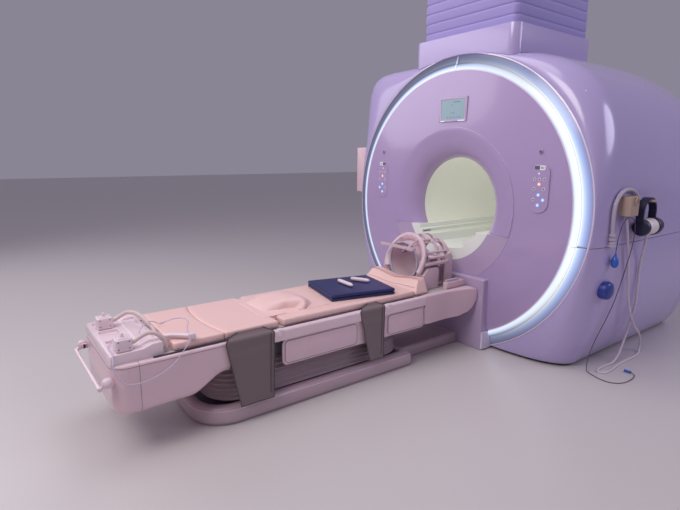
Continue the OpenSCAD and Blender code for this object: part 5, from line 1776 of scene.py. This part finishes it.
@dataclass
class HeadCoil(Part):
    """Head coil: cradle, cage and the visor with its mirror."""

    axis: float = 635.0
    radius: float = 172.0
    back: float = -128.0
    lie: float = 457.8

    def build(self) -> None:
        """Builds the coil."""
        self._base()
        self._cage()
        self._visor()

    def _arch_y(self, z: float) -> float:
        """Gives the place of the leaning arch along the couch at a height."""
        return -428.0 + (z - 600.0) * 0.38

    def _ring(self, turns: np.ndarray, y: float | None, radius: float) -> np.ndarray:
        """Gives points on a hoop of the cage.

        Args:
            turns: Angles from the top in degrees.
            y: The hoop's place along the bore, or none for the leaning arch.
            radius: Its radius.

        Returns:
            The points.
        """
        x = radius * np.sin(np.radians(turns))
        z = self.axis + radius * np.cos(np.radians(turns))
        along = self._arch_y(z) if y is None else y + 0 * z
        return np.stack([x, along, z], axis=1)

    def _rib(self, turn: float, radius: float) -> np.ndarray:
        """Gives points on a rib from the arch to the rounded back.

        Args:
            turn: Angle from the top in degrees.
            radius: The cage's radius at the rib.

        Returns:
            The points.
        """
        s, c = math.sin(math.radians(turn)), math.cos(math.radians(turn))
        start = self._arch_y(self.axis + radius * c)
        ys = np.linspace(start, self.back, 22)
        drop, run = 62, 90
        fall = radius - drop * np.clip((ys - self.back + run) / run, 0, 1) ** 2.2
        return np.stack([fall * s, ys, self.axis + fall * c], axis=1)

    def _cage(self) -> None:
        """Builds the cage: arch, hoops, ribs, side loops, hinge arms and tunnel."""
        shape = Shape()
        wide = np.linspace(-112, 112, 57)
        shape.tube(self._ring(wide, None, self.radius - 8), 32.0, 24, 0.6)
        shape.tube(self._ring(wide * 0.9, -256.0, self.radius - 2), 16.0, 16, 0.5)
        shape.tube(self._ring(wide, self.back + 8, self.radius - 50), 21.0, 16, 0.9)
        for turn, width in ((0, 8.0), (31, 7.0), (40, 7.0), (66, 12.0), (92, 24.0)):
            for side in (-1, 1) if turn else (1,):
                shape.tube(self._rib(side * turn, self.radius), width, 14, 0.6)
        hoop = rounded(166, -372, 214, -244, 22)
        hinge = ((80, -362, 786), (80, -410, 778), (80, -448, 756), (80, -459, 745))
        for side in (-1, 1):
            loop = [(side * x, y, 682.0) for x, y in hoop + hoop[:1]]
            shape.tube(np.array(loop), 9.5, 12)
            shape.tube(smooth_route([(side * x, y, z) for x, y, z in hinge], 5), 6.0, 12)
        for y0, y1, mark in ((-441, -427, 1), (-427, -330, 0)):
            shape.hoop(129, 138, y0, y1, self.axis, 72, mark)
        self.shop.make("coil_cage", shape, [Paint.COIL, Paint.RIM_GLASS], "table", ["coil_top"],
                       smooth=50)

    def _base(self) -> None:
        """Builds the cradle: foot plate, trough, foot blocks and back blocks, with painted shade in their
        recesses.
        """
        lie = self.lie
        shape = Shape().prism(rounded(-158, -440, 158, -112, 20), "xy", lie, 486)
        turns = np.radians(np.linspace(84, 276, 49))
        for outer, inner, y0, y1 in ((166.0, 139.0, -428.0, -300.0), (158.0, 139.0, -300.0, -118.0)):
            rows = [[(q * math.sin(t), y, self.axis + q * math.cos(t))
                     for q, y in ((outer, y0), (outer, y1), (inner, y1), (inner, y0))] for t in turns]
            shape.grid(np.array(rows), (False, True), True)
        block = Shape()
        foot = [(-432, lie), (-282, lie), (-282, 588), (-296, 604), (-392, 604), (-432, 560)]
        block.prism(foot, "yz", 148, 198)
        block.prism([(-196, lie), (-116, lie), (-116, 660), (-140, 690), (-196, 668)], "yz", 146, 172)
        # Painted shade: a dark box fills the recess between the blocks.
        block.prism([(-340, 500), (-222, 500), (-222, 655), (-340, 655)], "yz", 150, 168, 1)
        shape.join(block.mirrored())
        self.shop.make("coil_cradle", shape, [Paint.COIL, Paint.COIL_SHADE], "table", ["coil_base"],
                       bevel=4.0, smooth=50)

    def _visor(self) -> None:
        """Builds the visor: a leaning plate with a mirror under it, on its rod."""
        hinge_y, hinge_z = -470.0, 745.0

        def lean(p: np.ndarray) -> np.ndarray:
            """Leans the flat plate back from the hinge."""
            out = p.copy()
            out[:, 2] += hinge_z - 1 + (hinge_y - p[:, 1]) * 0.16
            return out

        plate = Shape()
        plate.prism(rounded(-168, -516, 168, -476, 18), "xy", -14.0, 5.0)
        plate.prism(rounded(-150, -508, 150, -482, 10), "xy", -15.0, -14.0, 1)
        rod = Shape().tube(np.array([(x, hinge_y, hinge_z) for x in np.linspace(-86, 86, 9)]), 3.5, 12)
        for x in (-60, 60):
            rod.box((x - 9, -482, 742.5), (x + 9, -468, 747))
        plate.warp(lean).join(rod)
        self.shop.make("visor", plate, [Paint.COIL, Paint.MIRROR], "mirror", ["coil_mirror"],
                       bevel=3.0, smooth=50)


@dataclass
class Connectors(Part):
    """Connector box, plugs, cables and sensor lead."""

    cable_a: Sequence[Point] = (
        (-140, -2338.8, 535), (-140, -2326, 536), (-137, -2300, 550), (-118, -2268, 568),
        (-72, -2240, 572), (-24, -2222, 560), (20, -2206, 538), (56, -2194, 514), (84, -2190, 490),
        (98, -2190, 467))
    cable_b: Sequence[Point] = (
        (222, -2338.8, 532), (222, -2326, 533), (223, -2302, 546), (227, -2268, 560),
        (232, -2236, 554), (236, -2208, 532), (238, -2192, 504), (238, -2190, 467))
    lead: Sequence[Point] = (
        (62, -2262, 506.6), (62, -2254, 528), (52, -2226, 552), (22, -2184, 542),
        (-20, -2144, 512), (-48, -2108, 503), (-72, -2060, 502.8), (-70, -2015, 502.8),
        (-36, -1998, 502.8), (20, -2004, 502.8), (70, -2026, 502.8), (130, -2050, 502.8),
        (200, -2066, 502.8), (256, -2078, 502.8), (290, -2096, 500), (307, -2120, 482),
        (313, -2160, 440), (314, -2200, 408), (314, -2260, 380), (314, -2330, 366),
        (315, -2390, 376), (316, -2426, 415), (310, -2440, 462), (290, -2436, 492),
        (262, -2430, 506), (228, -2428, 507), (186, -2428, 507), (150, -2422, 509),
        (124, -2404, 506), (108, -2386, 500), (102, -2376, 492))

    def build(self) -> None:
        """Builds the connectors."""
        shop = self.shop
        shop.soften("port_box", Paint.PLUG, "table", 5.0)
        shop.soften("coil_plugs", Paint.PLUG, "table", 6.0)
        plugs, foot_y, head_y, top = (-140, 222), -2400, -2354, 561
        caps = Shape()
        boss = [(0.1, 24), (5, 24), (7, 21), (7, 4), (12, 2), (12, -3)]
        for x in plugs:
            caps.turned(boss, (x + 6, -2378, top), "z", 24)
            caps.box((x - 20, foot_y, top - 1), (x + 26, head_y, top + 4))
        places = [(x + 35.2, y, z) for x in plugs for y in (foot_y, head_y) for z in (518, 550)]
        turns = [(0, math.pi / 2, 0)] * len(places)
        shop.studs("plug_screws", places, turns, Paint.KEY_DARK, "table", 3.0, 1.2)
        shop.make("plug_caps", caps, Paint.PLUG, "table", bevel=2.0)
        for name, route in (("cable_far", self.cable_a), ("cable_near", self.cable_b)):
            lay_cord(shop, name, route, 21.0, Paint.CABLE, "table", ["plug_cables"])
        roll = [(176, -2198, 503), (192, -2168, 516), (224, -2122, 518), (256, -2084, 516)]
        sleeve = Shape().tube(smooth_route(roll, 6), 14.0, 20, 0.85)
        sleeve.box((250, -2092, 501), (280, -2060, 529))
        shop.make("lead_sleeve", sleeve, Paint.PLUG, "table", bevel=2.0, smooth=50)
        lay_cord(shop, "lead_wire", self.lead, 4.0, Paint.LEAD, "table", ["sensor_lead"])


def lay_cord(shop: Workshop, name: str, route: Sequence[Point], diameter: float, paint: Paint,
             body: str, nodes: Sequence[str]) -> None:
    """Args:
        shop: The workshop.
        name: The object's name.
        route: Points of the route.
        diameter: The cord's diameter in millimetres.
        paint: Its paint.
        body: The body it rides on.
        nodes: CAD nodes it stands for.
    """
    path = smooth_route(route, 6)
    obj = shop.make(name, Shape().tube(path, diameter / 2, 14), paint, body, nodes, smooth=80)


@dataclass
class Accessories(Part):
    """Side box, holder, headset, arch tube, call bulb, knob and hoses on the gantry's sides."""

    hose: Sequence[Point] = (
        (1140, 600, 875), (1135, 610, 820), (1115, 640, 740), (1100, 660, 640),
        (1096, 675, 520), (1090, 692, 400), (1078, 690, 300), (1070, 668, 200), (1070, 625, 120),
        (1074, 560, 45), (1076, 490, 10), (1072, 410, 6.3), (1070, 330, 6.3), (1078, 282, 6.3),
        (1098, 262, 6.3), (1120, 278, 6.3), (1128, 322, 6.3), (1122, 400, 6.3), (1112, 500, 6.3),
        (1110, 600, 6.3), (1114, 700, 6.3), (1106, 790, 6.3), (1088, 852, 12), (1080, 872, 45),
        (1086, 850, 95), (1096, 780, 165), (1100, 690, 230), (1102, 610, 320), (1102, 550, 430),
        (1104, 500, 580), (1108, 450, 740), (1112, 400, 880), (1118, 362, 950), (1120, 346, 985),
        (1120, 345, 1011))
    call: Sequence[Point] = (
        (1115, 262, 781.3), (1115, 264, 830), (1120, 276, 920), (1130, 304, 985),
        (1140, 345, 1000), (1148, 388, 975), (1144, 418, 900), (1130, 434, 800), (1114, 426, 680),
        (1100, 405, 560), (1088, 368, 440), (1070, 325, 330), (1048, 290, 230), (1032, 262, 140),
        (1026, 240, 60), (1036, 220, 12), (1060, 205, 3.3), (1100, 186, 3.3), (1150, 170, 3.3),
        (1205, 172, 3.3), (1245, 205, 3.3), (1264, 260, 3.3), (1266, 330, 3.3), (1256, 390, 3.3),
        (1238, 414, 5), (1222.3, 418, 8.3))
    arch: Sequence[Point] = (
        (1104, 219, 855), (1104, 212, 920), (1104, 204, 1000), (1105, 210, 1080),
        (1106, 250, 1138), (1106, 310, 1163), (1106, 378, 1165), (1106, 440, 1150), (1106, 484, 1122))

    def build(self) -> None:
        """Builds the accessories."""
        shop = self.shop
        shop.soften("side_box", Paint.COUCH, "base", 6.0)
        shop.paint(Paint.TAN, "holder_box")
        self._headset()
        tube = Shape().tube(smooth_route(self.arch, 8), 12.0, 20)
        cuff = [(13, -9), (18, -9), (19, -7), (19, 7), (18, 9), (13, 9)]
        for z in (850, 874, 898):
            tube.turned(cuff, (1104, 219 - (z - 855) / 9, z), "z", 28, closed=True)
        tube.box((1075, 199, 828), (1124, 239, 842)).box((1075, 464, 1099.6), (1124, 504, 1128))
        shop.make("arch_tube", tube, Paint.ARCH, "base", ["air_tube"], smooth=50)
        shop.soften("side_knob", Paint.KNOB, "base", 2.0)
        shop.paint(Paint.BULB, "call_bulb")
        lay_cord(shop, "call_cord", self.call, 5.0, Paint.CORD, "base", ["call_tube"])
        lay_cord(shop, "ear_hose", self.hose, 16.0, Paint.HOSE, "base", ["headset_hose"])

    def _headset(self) -> None:
        """Builds the headset that hangs on the peg: band, arms, pale cup and dark ends."""
        x0, peg, high, wall = 1118.0, 560.0, 1020.0, 1090.0
        wide, inner, outer = 44, 80, 94
        rows = []
        for t in np.radians(np.linspace(0, 180, 33)):
            rows.append([(x0 + x, peg + q * math.cos(t), high + q * math.sin(t))
                         for x, q in ((0, inner), (wide, inner), (wide, outer), (0, outer))])
        form = Shape().grid(np.array(rows), (False, True), True)
        for side in (-1, 1):
            arm = peg + side * (inner + outer) / 2
            form.box((x0, arm - 7, high - 60), (x0 + wide, arm + 7, high + 2))
        middle = (wall + 59, peg, high - 92)
        ends = ([(0.1, -88), (42, -88), (50, -84), (53, -74), (53, -58), (48, -54)],
                [(46, -56), (50, -54), (52, -48), (52, 58), (46, 62)],
                [(46, 60), (56, 62), (58, 68), (58, 100), (56, 106), (46, 108)],
                [(46, 106), (45, 150), (40, 164), (28, 166), (0.1, 166)])
        for profile, mark in zip(ends, (0, 1, 0, 0)):
            form.turned(profile, middle, "y", 48, mark=mark)
        self.shop.make("headset_form", form, [Paint.NAVY, Paint.CUP], "base", ["headset"], smooth=40)


@dataclass(frozen=True)
class Lamp:
    """One soft round lamp: its place, what it points at, and its light."""

    name: str
    place: Point
    aim: Point
    size: float
    power: float
    colour: Point


@dataclass
class Studio:
    """Floor, light and camera."""

    place: tuple[float, float, float] = (2.4872, -3.7320, 1.3634)
    yaw: float = 53.1302
    pitch: float = 11.3541
    roll: float = 0.2893
    lens: float = 26.38
    floor_half: float = 30.0
    lamps: Sequence[Lamp] = (
        Lamp("key", (0.9, -5.6, 4.8), (0, -1.2, 0.7), 3.0, 136.0, (1.0, 0.94, 0.93)),
        Lamp("fill", (-4.2, -4.6, 3.2), (0, -0.6, 0.9), 3.5, 62.0, (0.93, 0.90, 1.0)),
        Lamp("top", (-0.4, -2.2, 4.8), (0, -1.6, 0.5), 3.2, 58.0, (0.98, 0.97, 1.0)),
        Lamp("rim", (4.4, 2.4, 3.4), (0.3, 0.2, 1.2), 2.5, 66.0, (0.80, 0.78, 1.0)))

    def build(self) -> None:
        """Sets up the studio."""
        self._floor()
        self._lights()
        self._camera()
        bpy.context.scene.view_settings.view_transform = "Standard"

    def _floor(self) -> None:
        """Lays the plain pale floor."""
        mesh = bpy.data.meshes.new("floor")
        half = self.floor_half
        corners = [(-half, -half, 0), (half, -half, 0), (half, half, 0), (-half, half, 0)]
        mesh.from_pydata(corners, [], [(0, 1, 2, 3)])
        material, tree, shader = new_material("floor")
        tree.fill(shader, {"Base Color": (0.60, 0.56, 0.55, 1.0), "Roughness": 0.35})
        mesh.materials.append(material)
        put("floor", mesh)

    def _lights(self) -> None:
        """Lights the sky and hangs the lamps."""
        world = bpy.data.worlds.new("studio")
        world.use_nodes = True
        sky = world.node_tree.nodes["Background"]
        Tree(world.node_tree).fill(sky, {0: (0.49, 0.45, 0.58, 1.0), 1: 0.52})
        bpy.context.scene.world = world
        for lamp in self.lamps:
            data = bpy.data.lights.new(lamp.name, "AREA")
            data.shape = "DISK"
            data.size = lamp.size
            data.energy = lamp.power
            data.color = lamp.colour
            obj = put(lamp.name, data)
            obj.location = lamp.place
            aim = Vector(lamp.aim) - Vector(lamp.place)
            obj.rotation_euler = aim.to_track_quat("-Z", "Y").to_euler()

    def _camera(self) -> None:
        """Sets the camera to the photo's place and angle."""
        data = bpy.data.cameras.new("camera")
        data.lens = self.lens
        data.sensor_width = 36.0
        camera = put("camera", data)
        turn = (Matrix.Rotation(math.radians(self.yaw), 4, "Z")
                @ Matrix.Rotation(math.radians(90 - self.pitch), 4, "X")
                @ Matrix.Rotation(math.radians(self.roll), 4, "Z"))
        camera.matrix_world = Matrix.Translation(self.place) @ turn
        bpy.context.scene.camera = camera


def main() -> None:
    """Builds the whole scene over the frame."""
    logging.basicConfig(level=logging.INFO)
    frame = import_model()
    shop = Workshop(frame, PaintShop())
    shop.paint(Paint.VESSEL, "magnet_vessel")
    shop.paint(Paint.RESIN, "gradient_coil", "body_coil")
    shop.paint(Paint.CAST, "cold_head")
    for part in (GantryCovers(shop), RingLight(shop), FaceDetails(shop), Couch(shop),
                 Cushions(shop), HeadCoil(shop), Connectors(shop), Accessories(shop)):
        part.build()
    Studio().build()


if __name__ == "__main__":
    main()
